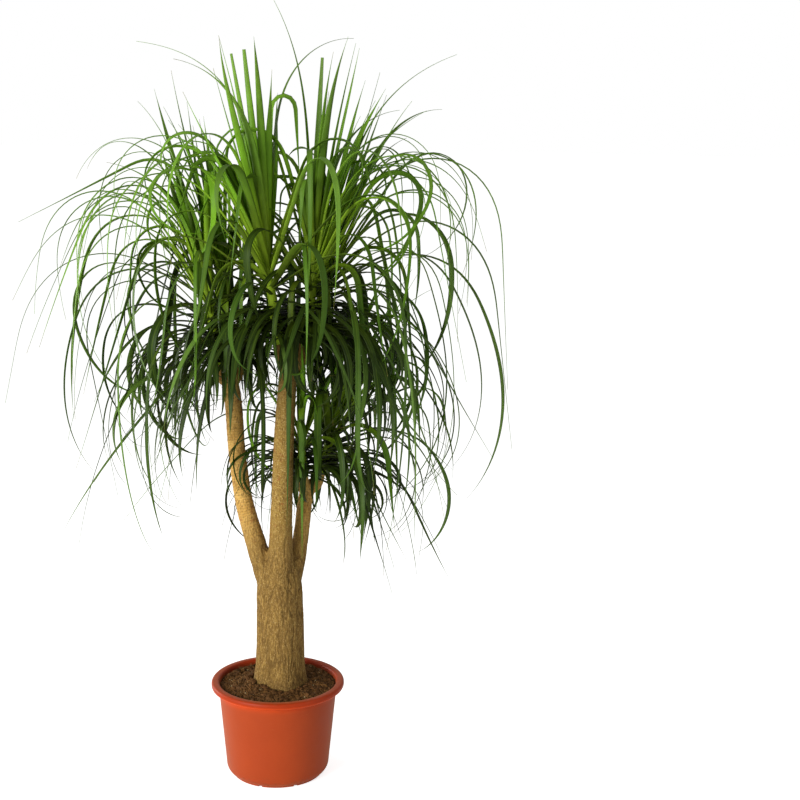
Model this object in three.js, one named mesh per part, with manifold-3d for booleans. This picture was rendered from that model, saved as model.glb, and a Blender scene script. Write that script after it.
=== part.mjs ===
// A potted ponytail palm: a moulded plastic grower's pot full of soil, a stout trunk that divides
// into three limbs, and seven heads of long strap leaves that rise, arch over and hang.
// Millimetres, +Z up, origin at the middle of the pot's underside, seen from -Y.

import * as THREE from "three";
import { mergeVertices } from "three/addons/utils/BufferGeometryUtils.js";
import Module from "manifold-3d";

const wasm = await Module();
wasm.setup();

// Driving dimensions
const fitGap = 0.3; // between pieces that touch
const pot = {
  rimRadius: 140,
  height: 203,
  waistRadius: 124, // just under the rim
  baseRadius: 108,
  footRadius: 97,
  footHeight: 4,
  cornerHeight: 15,
  cornerRound: 5,
  wall: 2.4,
  floor: 5,
  lipHeight: 13,
  lipWidth: 16,
  lipRound: 3,
  stepHeight: 6, // where the wall turns out under the lip
  sides: 36,
};
const drain = { count: 8, radius: 6, circle: 84, sides: 8, channelWidth: 8.4, channelDepth: 2.6 };
const soil = { drop: 8, mound: 7, lump: 2.6, topRings: 5 };
const bark = { sides: 16, flute: 0.035, flutes: 5, limbSides: 10, ringsPerStretch: 1.5, swell: 0.03 };
const stem = { footRadius: 12.5, tipRadius: 7, sides: 8, branchSides: 8, branchBend: 22, branchSunk: 12 };
const blade = {
  steps: 48, // for working out its curve
  fewest: 2.6, // the sections of a straight one, and how many more a bend calls for
  perTurn: 0.9,
  most: 6,
  bendWeight: 0.55, // how much closer the sections stand where it bends
  rootThickness: 1.5,
  tipThickness: 0.9,
  finest: 1.6,
};
const leavesPerHead = 34;
const headSpare = 1.6; // leaves of different heads pass at least this far apart
const wood = { spare: 9, samples: 24, freeFrom: 0.12 }; // leaves keep this far off the limbs
const sidewards = 16; // degrees that the young arching leaves turn to the plant's two sides

// A leaf is shortened until it ends above the lowest tip and leaves the limbs in view. The upper heads'
// leaves that hang before them end above a height, a little higher the nearer they hang to the front, and
// the low heads' leaves stay out of the space before the middle limb. A few hang as they like.
const outline = { lowestTip: 430, shorten: 0.95, times: 20 };
const openStem = { left: -130, right: 100, below: 770, forward: 0.22, front: -400, back: 100, let: 0.04 };
const openLow = { right: 35, front: -30 };

// The trunk's rings: height, middle and radius. The lowest five lie in the soil.
const trunkRings = [
  { z: 70, x: 4, r: 34 },
  { z: 96, x: 4, r: 60 },
  { z: 140, x: 4, r: 71 },
  { z: 174, x: 4, r: 69 },
  { z: 192, x: 4, r: 62 },
  { z: 212, x: 4, r: 55 },
  { z: 250, x: 4, r: 51 },
  { z: 305, x: 4, r: 49.5 },
  { z: 360, x: 3, r: 48 },
  { z: 405, x: 2, r: 47 },
  { z: 438, x: 2, r: 42 },
  { z: 468, x: 3, r: 30 },
];

// Each limb runs through these points, with a radius at each, and ends where it divides.
const limbs = {
  left: {
    path: [
      [-12, 2, 385], [-26, 6, 440], [-48, 14, 506], [-71, 24, 590], [-85, 34, 694], [-91, 41, 780],
      [-97, 45, 832],
    ],
    radius: [24, 25, 21, 18.5, 18, 18, 17],
  },
  centre: {
    path: [
      [3, -4, 385], [4, -8, 445], [6, -14, 513], [8, -20, 601], [12, -26, 729], [16, -30, 800],
      [20, -30, 866],
    ],
    radius: [30, 29, 24.5, 22, 20.5, 19.5, 18],
  },
  right: {
    path: [[18, 4, 385], [32, 9, 435], [47, 20, 505], [56, 33, 580], [62, 42, 606]],
    radius: [22, 21, 16.5, 15.5, 15],
  },
};

// Each head stands on a short branch of its limb, from its foot to its growing tip.
const heads = [
  { name: "left_outer", limb: "left", foot: [-122, 41, 876], tip: [-140, 30, 1008], vigour: 0.98, seed: 1 },
  { name: "left_inner", limb: "left", foot: [-88, 62, 876], tip: [-113, 68, 1020], vigour: 1.0, seed: 2 },
  { name: "front_left", limb: "centre", foot: [4, -52, 934], tip: [-23, -70, 1095], vigour: 1.1, seed: 3 },
  { name: "front_right", limb: "centre", foot: [54, -34, 932], tip: [74, -38, 1080], vigour: 1.02, seed: 4 },
  { name: "back_right", limb: "centre", foot: [64, 18, 924], tip: [102, 36, 1068], vigour: 1.03, seed: 5 },
  { name: "low_inner", limb: "right", foot: [51, 28, 640], tip: [48, 14, 716], vigour: 0.62, seed: 6 },
  { name: "low_outer", limb: "right", foot: [88, 62, 640], tip: [118, 78, 733], vigour: 0.82, seed: 7 },
];

// Leaves that stand out singly: where each heads and how far it leans off upright there, in degrees, then
// how long it stays straight, in what length it bends, the lean that it bends to, its length and width, and
// how far its face is turned. Some were cut square, and some have folded over.
const singleLeaves = {
  left_outer: [
    { heading: 182, lean: 12, stiff: 240, arch: 160, end: 117, length: 630, width: 13, facing: 30, age: 0.2 },
    { heading: 186, lean: 42, stiff: 50, arch: 520, end: 168, length: 660, width: 7, age: 0.4 },
    { heading: 176, lean: 50, stiff: 60, arch: 360, end: 190, length: 700, width: 8, age: 0.45 },
    { heading: 185, lean: 14, end: 22, length: 300, width: 21, facing: 80 },
    { heading: 190, lean: 14, stiff: 90, arch: 200, end: 162, length: 700, width: 17, facing: 20, age: 0.25 },
  ],
  left_inner: [
    { heading: 190, lean: 5, end: 8, length: 370, width: 17, facing: 80 },
    { heading: 270, lean: 40, stiff: 20, arch: 60, end: 178, length: 270, width: 16, age: 0.3 },
  ],
  front_left: [
    { heading: 180, lean: 6, end: 5, length: 425, width: 17, facing: 80, cut: true },
    { heading: 184, lean: 9, end: 10, length: 420, width: 13, facing: 70, cut: true },
    { heading: 350, lean: 2, stiff: 310, arch: 85, end: 176, length: 540, width: 17, facing: 40 },
    { heading: 190, lean: 22, stiff: 200, arch: 110, end: 160, length: 420, width: 19, facing: 50 },
    { heading: 200, lean: 17, end: 30, length: 210, width: 19, facing: 60, cut: true },
    { heading: 205, lean: 48, stiff: 30, arch: 140, end: 164, length: 600, width: 18, facing: 30, age: 0.3 },
    { heading: 215, lean: 60, stiff: 20, arch: 70, end: 176, length: 280, width: 17, facing: 10, age: 0.3 },
    { heading: 172, lean: 8, stiff: 200, arch: 400, end: 85, length: 560, width: 9 },
    { heading: 186, lean: 15, stiff: 120, arch: 330, end: 165, length: 680, width: 9 },
  ],
  front_right: [
    { heading: 0, lean: 1, end: 3, length: 425, width: 15, facing: 75, cut: true },
    { heading: 250, lean: 9, stiff: 190, arch: 70, end: 172, length: 360, width: 18, facing: 10, age: 0.25 },
    { heading: 20, lean: 16, end: 32, length: 400, width: 17, facing: 70 },
    { heading: 330, lean: 45, stiff: 40, arch: 110, end: 172, length: 360, width: 17, facing: 20, age: 0.3 },
    { heading: 315, lean: 30, stiff: 10, arch: 60, end: 176, length: 330, width: 19, facing: -20, age: 0.35 },
    { heading: 238, lean: 50, stiff: 30, arch: 90, end: 178, length: 560, width: 13, age: 0.4 },
    { heading: 150, lean: 4, stiff: 250, arch: 600, end: 60, length: 560, width: 10 },
  ],
  back_right: [
    { heading: 15, lean: 13, stiff: 150, arch: 500, end: 75, length: 560, width: 9 },
    { heading: 352, lean: 20, stiff: 140, arch: 280, end: 168, length: 740, width: 9 },
    { heading: 2, lean: 26, stiff: 150, arch: 500, end: 176, length: 920, width: 12, age: 0.3 },
    { heading: 340, lean: 44, stiff: 100, arch: 440, end: 172, length: 900, width: 13, age: 0.35 },
    { heading: 350, lean: 40, stiff: 60, arch: 200, end: 174, length: 520, width: 16, facing: 20, age: 0.3 },
  ],
  low_inner: [
    { heading: 262, lean: 24, stiff: 85, arch: 90, end: 176, length: 440, width: 14, facing: 30, age: 0.2 },
    { heading: 330, lean: 50, stiff: 20, arch: 120, end: 165, length: 300, width: 13, facing: 20, age: 0.3 },
  ],
  low_outer: [
    { heading: 320, lean: 55, stiff: 20, arch: 200, end: 172, length: 340, width: 15, facing: 20, age: 0.3 },
  ],
};
const plainLeaf = {
  age: 0.12,
  stiff: 100,
  arch: 300,
  facing: 0,
  turn: 0,
  lift: 0,
  curl: 0,
  drift: 0,
  twist: 0,
  let: true,
};

const looks = {
  pot: { colour: 0xc4512b, roughness: 0.45 },
  soil: { colour: 0x3a2a1c, roughness: 0.95 },
  trunk: { colour: 0xa98a58, roughness: 0.85 },
  leaf: { colour: 0x3f7427, roughness: 0.5 },
};

// Small sums
const degrees = THREE.MathUtils.degToRad;
const mix = THREE.MathUtils.lerp;
const smoothstep = (low, high, x) => THREE.MathUtils.smoothstep(x, low, high);
const fract = (x) => x - Math.floor(x);
const vector = (p) => new THREE.Vector3(...p);

// A seeded draw from 0 to 1, alike for the same head, leaf and channel.
const draw = (seed, leaf, channel) =>
  fract(Math.sin(seed * 127.1 + leaf * 311.7 + channel * 74.7) * 43758.5453);

// Closed solids to and from meshes
function solidFrom(positions, triangles) {
  const make = (tris) =>
    new wasm.Manifold(
      new wasm.Mesh({
        numProp: 3,
        vertProperties: Float32Array.from(positions),
        triVerts: Uint32Array.from(tris),
      }),
    );
  const made = make(triangles);
  if (made.volume() > 0) return made;
  const turned = [];
  for (let i = 0; i < triangles.length; i += 3)
    turned.push(triangles[i], triangles[i + 2], triangles[i + 1]);
  return make(turned);
}

function solidOfGeometry(geometry) {
  const bare = geometry.clone();
  bare.deleteAttribute("normal");
  bare.deleteAttribute("uv");
  const merged = mergeVertices(bare, 1e-3);
  const index = merged.index.array;
  const kept = [];
  for (let i = 0; i < index.length; i += 3) {
    const [a, b, c] = [index[i], index[i + 1], index[i + 2]];
    if (a !== b && b !== c && a !== c) kept.push(a, b, c);
  }
  return solidFrom(merged.attributes.position.array, kept);
}

function geometryOf(solid) {
  const mesh = solid.getMesh();
  const geometry = new THREE.BufferGeometry();
  geometry.setAttribute("position", new THREE.BufferAttribute(mesh.vertProperties, mesh.numProp));
  geometry.setIndex(new THREE.BufferAttribute(mesh.triVerts, 1));
  geometry.computeVertexNormals();
  return geometry;
}

// The outer skin of a solid alone, so that pockets sealed in among leaf roots are filled.
function outerSkin(solid) {
  const { vertProperties: place, triVerts: index } = solid.getMesh();
  const parent = Array.from({ length: place.length / 3 }, (_, i) => i);
  const top = (i) => {
    while (parent[i] !== i) i = parent[i];
    return i;
  };
  const corners = Array.from({ length: index.length / 3 }, (_, i) => index.subarray(3 * i, 3 * i + 3));
  for (const [a, b, c] of corners) {
    parent[top(b)] = top(a);
    parent[top(c)] = top(a);
  }
  const skins = new Map();
  for (const corner of corners) {
    const key = top(corner[0]);
    if (!skins.has(key)) skins.set(key, []);
    skins.get(key).push(...corner);
  }
  const [largest] = [...skins.values()].sort((a, b) => b.length - a.length);
  return solidFrom(place, largest);
}

// A closed skin over rings of points. A ring of one point ends it in a tip. Each four-cornered face is
// split along the diagonal that bulges outwards, so a thin twisted piece doesn't cross itself.
function loft(rings) {
  const positions = [];
  const triangles = [];
  const starts = rings.map((ring) => {
    const start = positions.length / 3;
    for (const p of ring) positions.push(p.x, p.y, p.z);
    return start;
  });
  const n = rings[0].length;
  const middle = (ring) =>
    ring.reduce((sum, p) => sum.add(p), new THREE.Vector3()).divideScalar(ring.length);
  for (let k = 0; k + 1 < rings.length; k++) {
    const [a, b] = [starts[k], starts[k + 1]];
    const inside = middle([...rings[k], ...rings[k + 1]]);
    for (let j = 0; j < n; j++) {
      const next = (j + 1) % n;
      if (rings[k + 1].length === 1) {
        triangles.push(a + j, a + next, b);
        continue;
      }
      const corners = [rings[k][j], rings[k][next], rings[k + 1][next], rings[k + 1][j]];
      const outwards = middle(corners).sub(inside);
      const across = corners[0].clone().add(corners[2]).sub(corners[1]).sub(corners[3]);
      if (across.dot(outwards) >= 0) triangles.push(a + j, a + next, b + next, a + j, b + next, b + j);
      else triangles.push(a + j, a + next, b + j, a + next, b + next, b + j);
    }
  }
  const cap = (start, flip) => {
    for (let j = 1; j + 1 < n; j++)
      triangles.push(start, ...(flip ? [start + j + 1, start + j] : [start + j, start + j + 1]));
  };
  cap(starts[0], true);
  if (rings.at(-1).length > 1) cap(starts.at(-1), false);
  return solidFrom(positions, triangles);
}

// A round ring of points about a middle, square to a direction.
function ringAbout(middle, along, radius, sides) {
  const across = new THREE.Vector3(1, 0, 0);
  across.addScaledVector(along, -across.dot(along)).normalize();
  const other = new THREE.Vector3().crossVectors(along, across);
  return Array.from({ length: sides }, (_, j) => {
    const angle = (2 * Math.PI * j) / sides;
    return middle
      .clone()
      .addScaledVector(across, radius * Math.cos(angle))
      .addScaledVector(other, radius * Math.sin(angle));
  });
}

// A round solid from its profile of radius and height.
function turnedGeometry(profile) {
  const lathe = new THREE.LatheGeometry(profile.map((p) => new THREE.Vector2(...p)), pot.sides);
  return lathe.rotateX(Math.PI / 2);
}

// Pot: a thin tapering wall under a thick turned-out lip, on a low foot with drain holes and channels
function makePot() {
  const { rimRadius: rim, height: top, wall, lipHeight, lipRound } = pot;
  const inner = rim - pot.lipWidth;
  const underLip = top - lipHeight;
  const profile = [
    [0, 0],
    [pot.footRadius, 0],
    [pot.footRadius, pot.footHeight],
    [pot.baseRadius - pot.cornerRound, pot.footHeight + lipRound],
    [pot.baseRadius, pot.cornerHeight],
    [pot.waistRadius, underLip - pot.stepHeight],
    [pot.waistRadius + wall / 2, underLip],
    [rim - lipRound, underLip],
    [rim, underLip + lipRound],
    [rim, top - lipRound],
    [rim - lipRound, top],
    [inner + lipRound, top],
    [inner, top - lipRound],
    [pot.waistRadius - wall, underLip - pot.stepHeight],
    [pot.baseRadius - wall, pot.cornerHeight],
    [pot.footRadius - wall, pot.floor],
    [0, pot.floor],
  ];
  let shell = solidOfGeometry(turnedGeometry(profile));
  for (let i = 0; i < drain.count; i++) {
    const turn = degrees((360 * (i + 0.5)) / drain.count);
    const hole = new THREE.CylinderGeometry(drain.radius, drain.radius, 4 * pot.floor, drain.sides);
    hole.rotateX(Math.PI / 2).translate(drain.circle, 0, 0).rotateZ(turn);
    const reach = rim - drain.circle;
    const channel = new THREE.BoxGeometry(reach, drain.channelWidth, 2 * drain.channelDepth);
    channel.translate(drain.circle + reach / 2, 0, 0).rotateZ(turn);
    shell = shell.subtract(solidOfGeometry(hole)).subtract(solidOfGeometry(channel));
  }
  return shell;
}

// Soil: the pot's inside in plan, with a lumpy top that rises to the trunk
const soilLevel = pot.height - soil.drop;
function soilRelief(x, y) {
  const out = Math.hypot(x, y) / pot.waistRadius;
  const lumps =
    Math.sin(x * 0.083 + 1.3) * Math.cos(y * 0.071) + 0.6 * Math.sin(x * 0.17 - y * 0.14 + 0.5);
  return soil.mound * (1 - smoothstep(0.35, 1, out)) + soil.lump * lumps * (1 - out ** 6) - soil.lump;
}

function makeSoil() {
  const edgeHeight = soilLevel - pot.lipHeight;
  const wallAt = (z) => {
    const share = (z - pot.cornerHeight) / (pot.height - pot.lipHeight - pot.stepHeight - pot.cornerHeight);
    return mix(pot.baseRadius, pot.waistRadius, share) - pot.wall - 3 * fitGap;
  };
  const edge = wallAt(edgeHeight);
  const profile = [
    [0, pot.floor + fitGap],
    [pot.footRadius - 2 * pot.wall, pot.floor + fitGap],
    [wallAt(pot.cornerHeight) - pot.wall, pot.cornerHeight + pot.wall],
    [edge, edgeHeight],
  ];
  for (let k = 0; k < soil.topRings; k++) profile.push([edge * (1 - k / soil.topRings), soilLevel]);
  profile.push([0, soilLevel]);
  const body = turnedGeometry(profile);
  const place = body.attributes.position;
  for (let i = 0; i < place.count; i++)
    if (place.getZ(i) > soilLevel - 1)
      place.setZ(i, soilLevel + soilRelief(place.getX(i), place.getY(i)));
  return solidOfGeometry(body).subtract(trunkButt(fitGap));
}

// Trunk: rings fluted a little, as old bark is, and swollen at the soil
function trunkButt(spare) {
  const rings = trunkRings.map(({ z, x, r }, k) => {
    const low = k === 0 ? -spare : 0;
    return Array.from({ length: bark.sides }, (_, j) => {
      const angle = (2 * Math.PI * j) / bark.sides;
      const wave = Math.sin(bark.flutes * angle + 0.9 + z * 0.004) + 0.5 * Math.sin(3 * angle - z * 0.01);
      const radius = r * (1 + bark.flute * wave) + spare;
      return new THREE.Vector3(x + radius * Math.cos(angle), radius * Math.sin(angle), z + low);
    });
  });
  return loft(rings);
}

function limbCurve(limb) {
  return new THREE.CatmullRomCurve3(limb.path.map(vector), false, "centripetal");
}

function limbRadius(limb, share) {
  const at = share * (limb.radius.length - 1);
  const low = Math.min(Math.floor(at), limb.radius.length - 2);
  return mix(limb.radius[low], limb.radius[low + 1], at - low);
}

function makeLimb(limb) {
  const curve = limbCurve(limb);
  const count = Math.round(bark.ringsPerStretch * (limb.path.length - 1));
  const rings = Array.from({ length: count + 1 }, (_, k) => {
    const t = k / count;
    const radius = limbRadius(limb, t) * (1 + bark.swell * Math.sin(k * 2.4));
    return ringAbout(curve.getPoint(t), curve.getTangent(t), radius, bark.limbSides);
  });
  return loft(rings);
}

// The short branch that carries a head leaves the limb's end and turns up under the head's foot.
function makeBranch(head) {
  const limb = limbs[head.limb];
  const fork = vector(limb.path.at(-1));
  const foot = vector(head.foot);
  const up = vector(head.tip).sub(foot).normalize();
  const top = foot.clone().addScaledVector(up, -fitGap);
  const bend = top.clone().addScaledVector(up, -stem.branchBend);
  const leaning = bend.clone().sub(fork).normalize();
  const sunk = fork.clone().addScaledVector(leaning, -stem.branchSunk);
  return loft([
    ringAbout(sunk, leaning, 0.8 * limb.radius.at(-1), stem.branchSides),
    ringAbout(bend, leaning.clone().add(up).normalize(), stem.footRadius + 1, stem.branchSides),
    ringAbout(top, up, stem.footRadius, stem.branchSides),
  ]);
}

function makeTrunk() {
  let trunk = trunkButt(0);
  for (const limb of Object.values(limbs)) trunk = trunk.add(makeLimb(limb));
  for (const head of heads) trunk = trunk.add(makeBranch(head));
  return trunk;
}

// Leaves: one rule gives every leaf of every head its place, size and curve.
// Ages and turns follow an evenly filling sequence, so any number of leaves covers the head.
const ageStep = 0.7548776662466927;
const turnStep = 0.5698402909980532;

function leafRule(head, i) {
  const chance = (channel) => draw(head.seed, i, channel);
  const age = fract(0.37 + i * ageStep); // 0 at the upright heart, 1 at the oldest, lowest leaf
  const heart = 1 - smoothstep(0.1, 0.18, age);
  const ripe = smoothstep(0.3, 0.5, age);
  const old = smoothstep(0.55, 0.85, age);
  const grown = 440 + 320 * smoothstep(0.12, 0.22, age) - 340 * smoothstep(0.28, 0.9, age);
  const broad = 16.5 - 4.5 * smoothstep(0.25, 0.75, age);
  const broadness = mix(0.42 + 0.72 * chance(9), 0.8 + 0.4 * chance(9), heart);
  // most stay short and a few grow long
  const share = mix(0.58 + 0.62 * chance(8) ** 2, 0.72 + 0.36 * chance(8), heart);
  const turn = 360 * fract(0.11 * head.seed + i * turnStep);
  const aside = sidewards * (smoothstep(0.1, 0.16, age) - smoothstep(0.38, 0.5, age));
  const outwards = 1 + 0.16 * Math.abs(Math.cos(degrees(turn))) * (1 - heart);
  const bend = (200 + 30 * ripe - 70 * old + 200 * chance(4) ** 2) * (0.4 + 0.6 * share);
  return {
    age,
    turn: turn - aside * Math.sin(degrees(2 * turn)),
    lift: 0,
    rise: 3 + 87 * age + 14 * (chance(1) - 0.5), // degrees off the stem at the root
    end: mix(182 - (18 + 24 * ripe) * chance(2), 14 + 90 * chance(2) ** 2, heart), // degrees, once bent
    stiff: 15 + (70 + 170 * chance(3)) * (1 - smoothstep(0.2, 0.55, age)), // its length before it bends
    arch: mix(bend, 460, heart) * head.vigour, // the length in which it bends
    curl: (140 * chance(5) - 40) * (1 - heart), // the last turn of the tip
    drift: (chance(6) - 0.5) * 70,
    twist: (chance(7) - 0.5) * 190 * (1 - 0.7 * heart),
    facing: 0,
    length: head.vigour * grown * share * outwards,
    width: broad * broadness * Math.sqrt(head.vigour),
    narrows: [mix(0.42, 0.55, heart), 1], // the shares of its length over which it narrows
    let: chance(11) <= openStem.let, // hangs as it likes
  };
}

const singleLeaf = (row) => ({ ...plainLeaf, narrows: row.cut ? [0.3, 1.35] : [0.45, 0.98], ...row });

// A direction from how far it leans off upright and the way it leans.
const direction = (lean, way) =>
  new THREE.Vector3(Math.sin(lean) * Math.cos(way), Math.sin(lean) * Math.sin(way), Math.cos(lean));

// The direction in which a leaf leaves its stem.
function leafStart(head, leaf) {
  if ("heading" in leaf) return direction(degrees(leaf.lean - leaf.lift), degrees(leaf.heading + leaf.turn));
  const rise = degrees(leaf.rise - leaf.lift);
  const up = vector(head.tip).sub(vector(head.foot)).normalize();
  const out = direction(Math.PI / 2, degrees(leaf.turn));
  return up.multiplyScalar(Math.cos(rise)).addScaledVector(out, Math.sin(rise)).normalize();
}

// The leaf's frames: middle, side and face at each of its small steps.
function leafFrames(head, leaf) {
  const start = leafStart(head, leaf);
  const heading = Math.atan2(start.y, start.x);
  const first = Math.acos(start.z);
  const last = Math.max(first, degrees(leaf.end));
  const at = vector(head.tip).lerp(vector(head.foot), 0.96 * leaf.age ** 1.2 + 0.02);
  const frames = [];
  for (let k = 0; k <= blade.steps; k++) {
    const s = k / blade.steps;
    const lean =
      mix(first, last, smoothstep(leaf.stiff, leaf.stiff + leaf.arch, s * leaf.length)) +
      degrees(leaf.curl) * smoothstep(0.55, 1, s);
    const way = heading + degrees(leaf.drift) * s ** 1.5;
    const along = direction(lean, way);
    if (k > 0) at.addScaledVector(along, leaf.length / blade.steps);
    const side = direction(Math.PI / 2, way + Math.PI / 2);
    const face = new THREE.Vector3().crossVectors(along, side);
    const twist = degrees(leaf.twist) * s ** 1.3 + degrees(leaf.facing);
    side.applyAxisAngle(along, twist);
    face.applyAxisAngle(along, twist);
    frames.push({ s, at: at.clone(), along, side, face });
  }
  return frames;
}

// Broad for the first half, then drawn out to a long fine tip
const leafWidth = (leaf, s) =>
  Math.max(leaf.width * Math.min(1, 0.5 + 6 * s) * (1 - smoothstep(...leaf.narrows, s)), blade.finest);

// The steps at which a leaf has its sections: evenly along it, but closer together where it bends most.
function leafStations(leaf, frames) {
  const measure = [0];
  for (let k = 1; k <= blade.steps; k++) {
    const bent = frames[k].along.angleTo(frames[k - 1].along);
    const twisted = frames[k].side.angleTo(frames[k - 1].side);
    measure.push(measure[k - 1] + 1 / blade.steps + blade.bendWeight * (bent + twisted / 3));
  }
  const whole = measure.at(-1);
  const count = Math.min(Math.round(blade.fewest + blade.perTurn * whole), blade.most);
  return Array.from({ length: count + 1 }, (_, n) =>
    n < count ? measure.findIndex((m) => m >= (whole * n) / count) : blade.steps,
  );
}

// A leaf's sections at its stations: the frame, half its width and its depth to the keel.
function leafSections(leaf, frames) {
  return leafStations(leaf, frames).map((k) => ({
    ...frames[k],
    half: leafWidth(leaf, frames[k].s) / 2,
    depth: mix(blade.rootThickness, blade.tipThickness, frames[k].s),
  }));
}

const offset = ({ at, side, face }, across, up) =>
  at.clone().addScaledVector(side, across).addScaledVector(face, up);

// A three-sided blade: two edges and a keel, run out to a point unless it was cut square.
function makeBlade(sections, cut) {
  const rings = sections.map((p) => [offset(p, p.half, 0), offset(p, -p.half, 0), offset(p, 0, -p.depth)]);
  if (!cut) rings[rings.length - 1] = [sections.at(-1).at];
  return loft(rings);
}

// The room that a blade needs about it, boxed in.
function makeRoom(sections) {
  const spare = headSpare / 2;
  return loft(
    sections.map((p) => {
      const wide = p.half + spare;
      const low = -p.depth - spare;
      return [offset(p, wide, spare), offset(p, -wide, spare), offset(p, -wide, low), offset(p, wide, low)];
    }),
  );
}

// Leaves pass clear of the wood: past its root, a leaf keeps its distance from every limb's middle.
const limbMiddles = Object.values(limbs).flatMap((limb) => {
  const curve = limbCurve(limb);
  return Array.from({ length: wood.samples + 1 }, (_, k) => ({
    at: curve.getPoint(k / wood.samples),
    clear: limbRadius(limb, k / wood.samples) + wood.spare,
  }));
});

function crossesWood(frames) {
  const free = frames.slice(Math.round(wood.freeFrom * blade.steps));
  return free.some(({ at }) => limbMiddles.some((limb) => at.distanceTo(limb.at) < limb.clear));
}

function hidesLimbs(head, leaf, frames) {
  if (leaf.let) return false;
  if (head.limb === "right") return frames.some(({ at }) => at.x < openLow.right && at.y < openLow.front);
  return frames.some(({ at }) => {
    const depth = THREE.MathUtils.clamp(at.y, openStem.front, openStem.back);
    const lowest = openStem.below - openStem.forward * depth;
    return at.x > openStem.left && at.x < openStem.right && at.z < lowest;
  });
}

// The frames of a leaf at the length that it may keep, or none.
function fittedFrames(head, leaf) {
  if (crossesWood(leafFrames(head, leaf))) return null;
  for (let k = 0; k < outline.times; k++) {
    const frames = leafFrames(head, leaf);
    const low = frames.some(({ at }) => at.z < outline.lowestTip);
    if (!low && !hidesLimbs(head, leaf, frames)) return frames;
    leaf.length *= outline.shorten;
  }
  return null;
}

const meets = (a, b) => a.intersect(b).volume() > 0;

// What a leaf may try, in turn, to pass clear: degrees round the stem, and degrees up.
const tries = [0, 5, -5, 10, -10, 16, -16, 23, -23, 31, -31, 40, -40, 50, -50].flatMap((turn) =>
  [0, 5, 10].map((lift) => ({ turn, lift })),
);

// The head's core: the growing end of the stem, which the leaves stand out of.
function makeCore(head, spare) {
  const foot = vector(head.foot);
  const tip = vector(head.tip);
  const along = tip.clone().sub(foot).normalize();
  return loft([
    ringAbout(foot, along, stem.footRadius + spare, stem.sides),
    ringAbout(tip, along, stem.tipRadius + spare, stem.sides),
  ]);
}

function growHead(head, others) {
  let body = makeCore(head, 0);
  const planned = (singleLeaves[head.name] ?? []).map(singleLeaf);
  for (let i = 0; i < leavesPerHead; i++) planned.push(leafRule(head, i));
  for (const plan of planned) {
    for (const { turn, lift } of tries) {
      const leaf = { ...plan, turn: plan.turn + turn, lift };
      const frames = fittedFrames(head, leaf);
      if (!frames) continue;
      const sections = leafSections(leaf, frames);
      const solid = makeBlade(sections, leaf.cut);
      const room = makeRoom(sections);
      if (others.some((other) => meets(room, other) || meets(solid, other))) continue;
      body = body.add(solid);
      break;
    }
  }
  return outerSkin(body);
}

// The whole plant
function meshOf(name, solid, { colour, roughness }) {
  const material = new THREE.MeshStandardMaterial({ color: colour, roughness, metalness: 0 });
  const mesh = new THREE.Mesh(geometryOf(solid), material);
  mesh.name = name;
  return mesh;
}

const plant = new THREE.Group();
const trunk = makeTrunk();
plant.add(meshOf("pot", makePot(), looks.pot));
plant.add(meshOf("soil", makeSoil(), looks.soil));
plant.add(meshOf("trunk", trunk, looks.trunk));
const grownHeads = [];
heads.forEach((head, k) => {
  const coming = heads.slice(k + 1).map((next) => makeCore(next, fitGap));
  const leaves = growHead(head, [trunk, ...grownHeads, ...coming]);
  grownHeads.push(leaves);
  plant.add(meshOf("leaf_head_" + head.name, leaves, looks.leaf));
});

export default plant;
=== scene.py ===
import math
import bmesh
import bpy
import numpy as np
from mathutils import Matrix, Vector, noise


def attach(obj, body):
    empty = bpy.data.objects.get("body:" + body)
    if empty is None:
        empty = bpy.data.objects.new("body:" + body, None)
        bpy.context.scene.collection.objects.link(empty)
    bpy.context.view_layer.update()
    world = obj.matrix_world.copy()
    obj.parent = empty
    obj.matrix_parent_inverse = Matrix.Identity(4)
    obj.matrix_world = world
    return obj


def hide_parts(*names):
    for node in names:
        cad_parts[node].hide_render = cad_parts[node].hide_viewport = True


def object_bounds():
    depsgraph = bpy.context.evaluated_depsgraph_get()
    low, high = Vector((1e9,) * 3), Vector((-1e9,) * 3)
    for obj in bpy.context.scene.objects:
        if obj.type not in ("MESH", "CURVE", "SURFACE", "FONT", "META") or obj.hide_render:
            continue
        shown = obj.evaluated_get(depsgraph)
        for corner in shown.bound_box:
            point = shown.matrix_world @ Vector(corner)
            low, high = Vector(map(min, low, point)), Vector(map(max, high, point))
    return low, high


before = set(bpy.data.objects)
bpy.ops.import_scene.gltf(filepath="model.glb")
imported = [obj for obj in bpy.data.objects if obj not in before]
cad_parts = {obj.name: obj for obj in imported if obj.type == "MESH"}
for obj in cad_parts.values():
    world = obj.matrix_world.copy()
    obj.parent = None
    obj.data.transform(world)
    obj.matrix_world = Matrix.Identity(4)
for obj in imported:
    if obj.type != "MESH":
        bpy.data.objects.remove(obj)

cadBox = [list(corner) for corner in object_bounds()]
lowCorner, highCorner = (np.array(corner) for corner in cadBox)


# Small sums and colours

def smooth(low, high, x):
    t = np.clip((np.asarray(x, float) - low) / (high - low), 0, 1)
    return t * t * (3 - 2 * t)


def eased(low, high, x):
    return float(smooth(low, high, x))


def between(a, b, share):
    return a + (b - a) * share


def fraction(x):
    return x - math.floor(x)


def unit(v):
    return v / np.linalg.norm(v)


def around(sides):
    # angles evenly round a circle
    return np.arange(sides) * 2 * math.pi / sides


def paint(red, green, blue):
    # screen colour, 0 to 255, as the linear colour that a shader takes
    return [((c / 255 + 0.055) / 1.055) ** 2.4 if c > 10 else c / 3295 for c in (red, green, blue)] + [1.0]


# Meshes

def newObject(name, mesh):
    thing = bpy.data.objects.new(name, mesh)
    bpy.context.scene.collection.objects.link(thing)
    return thing


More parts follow.
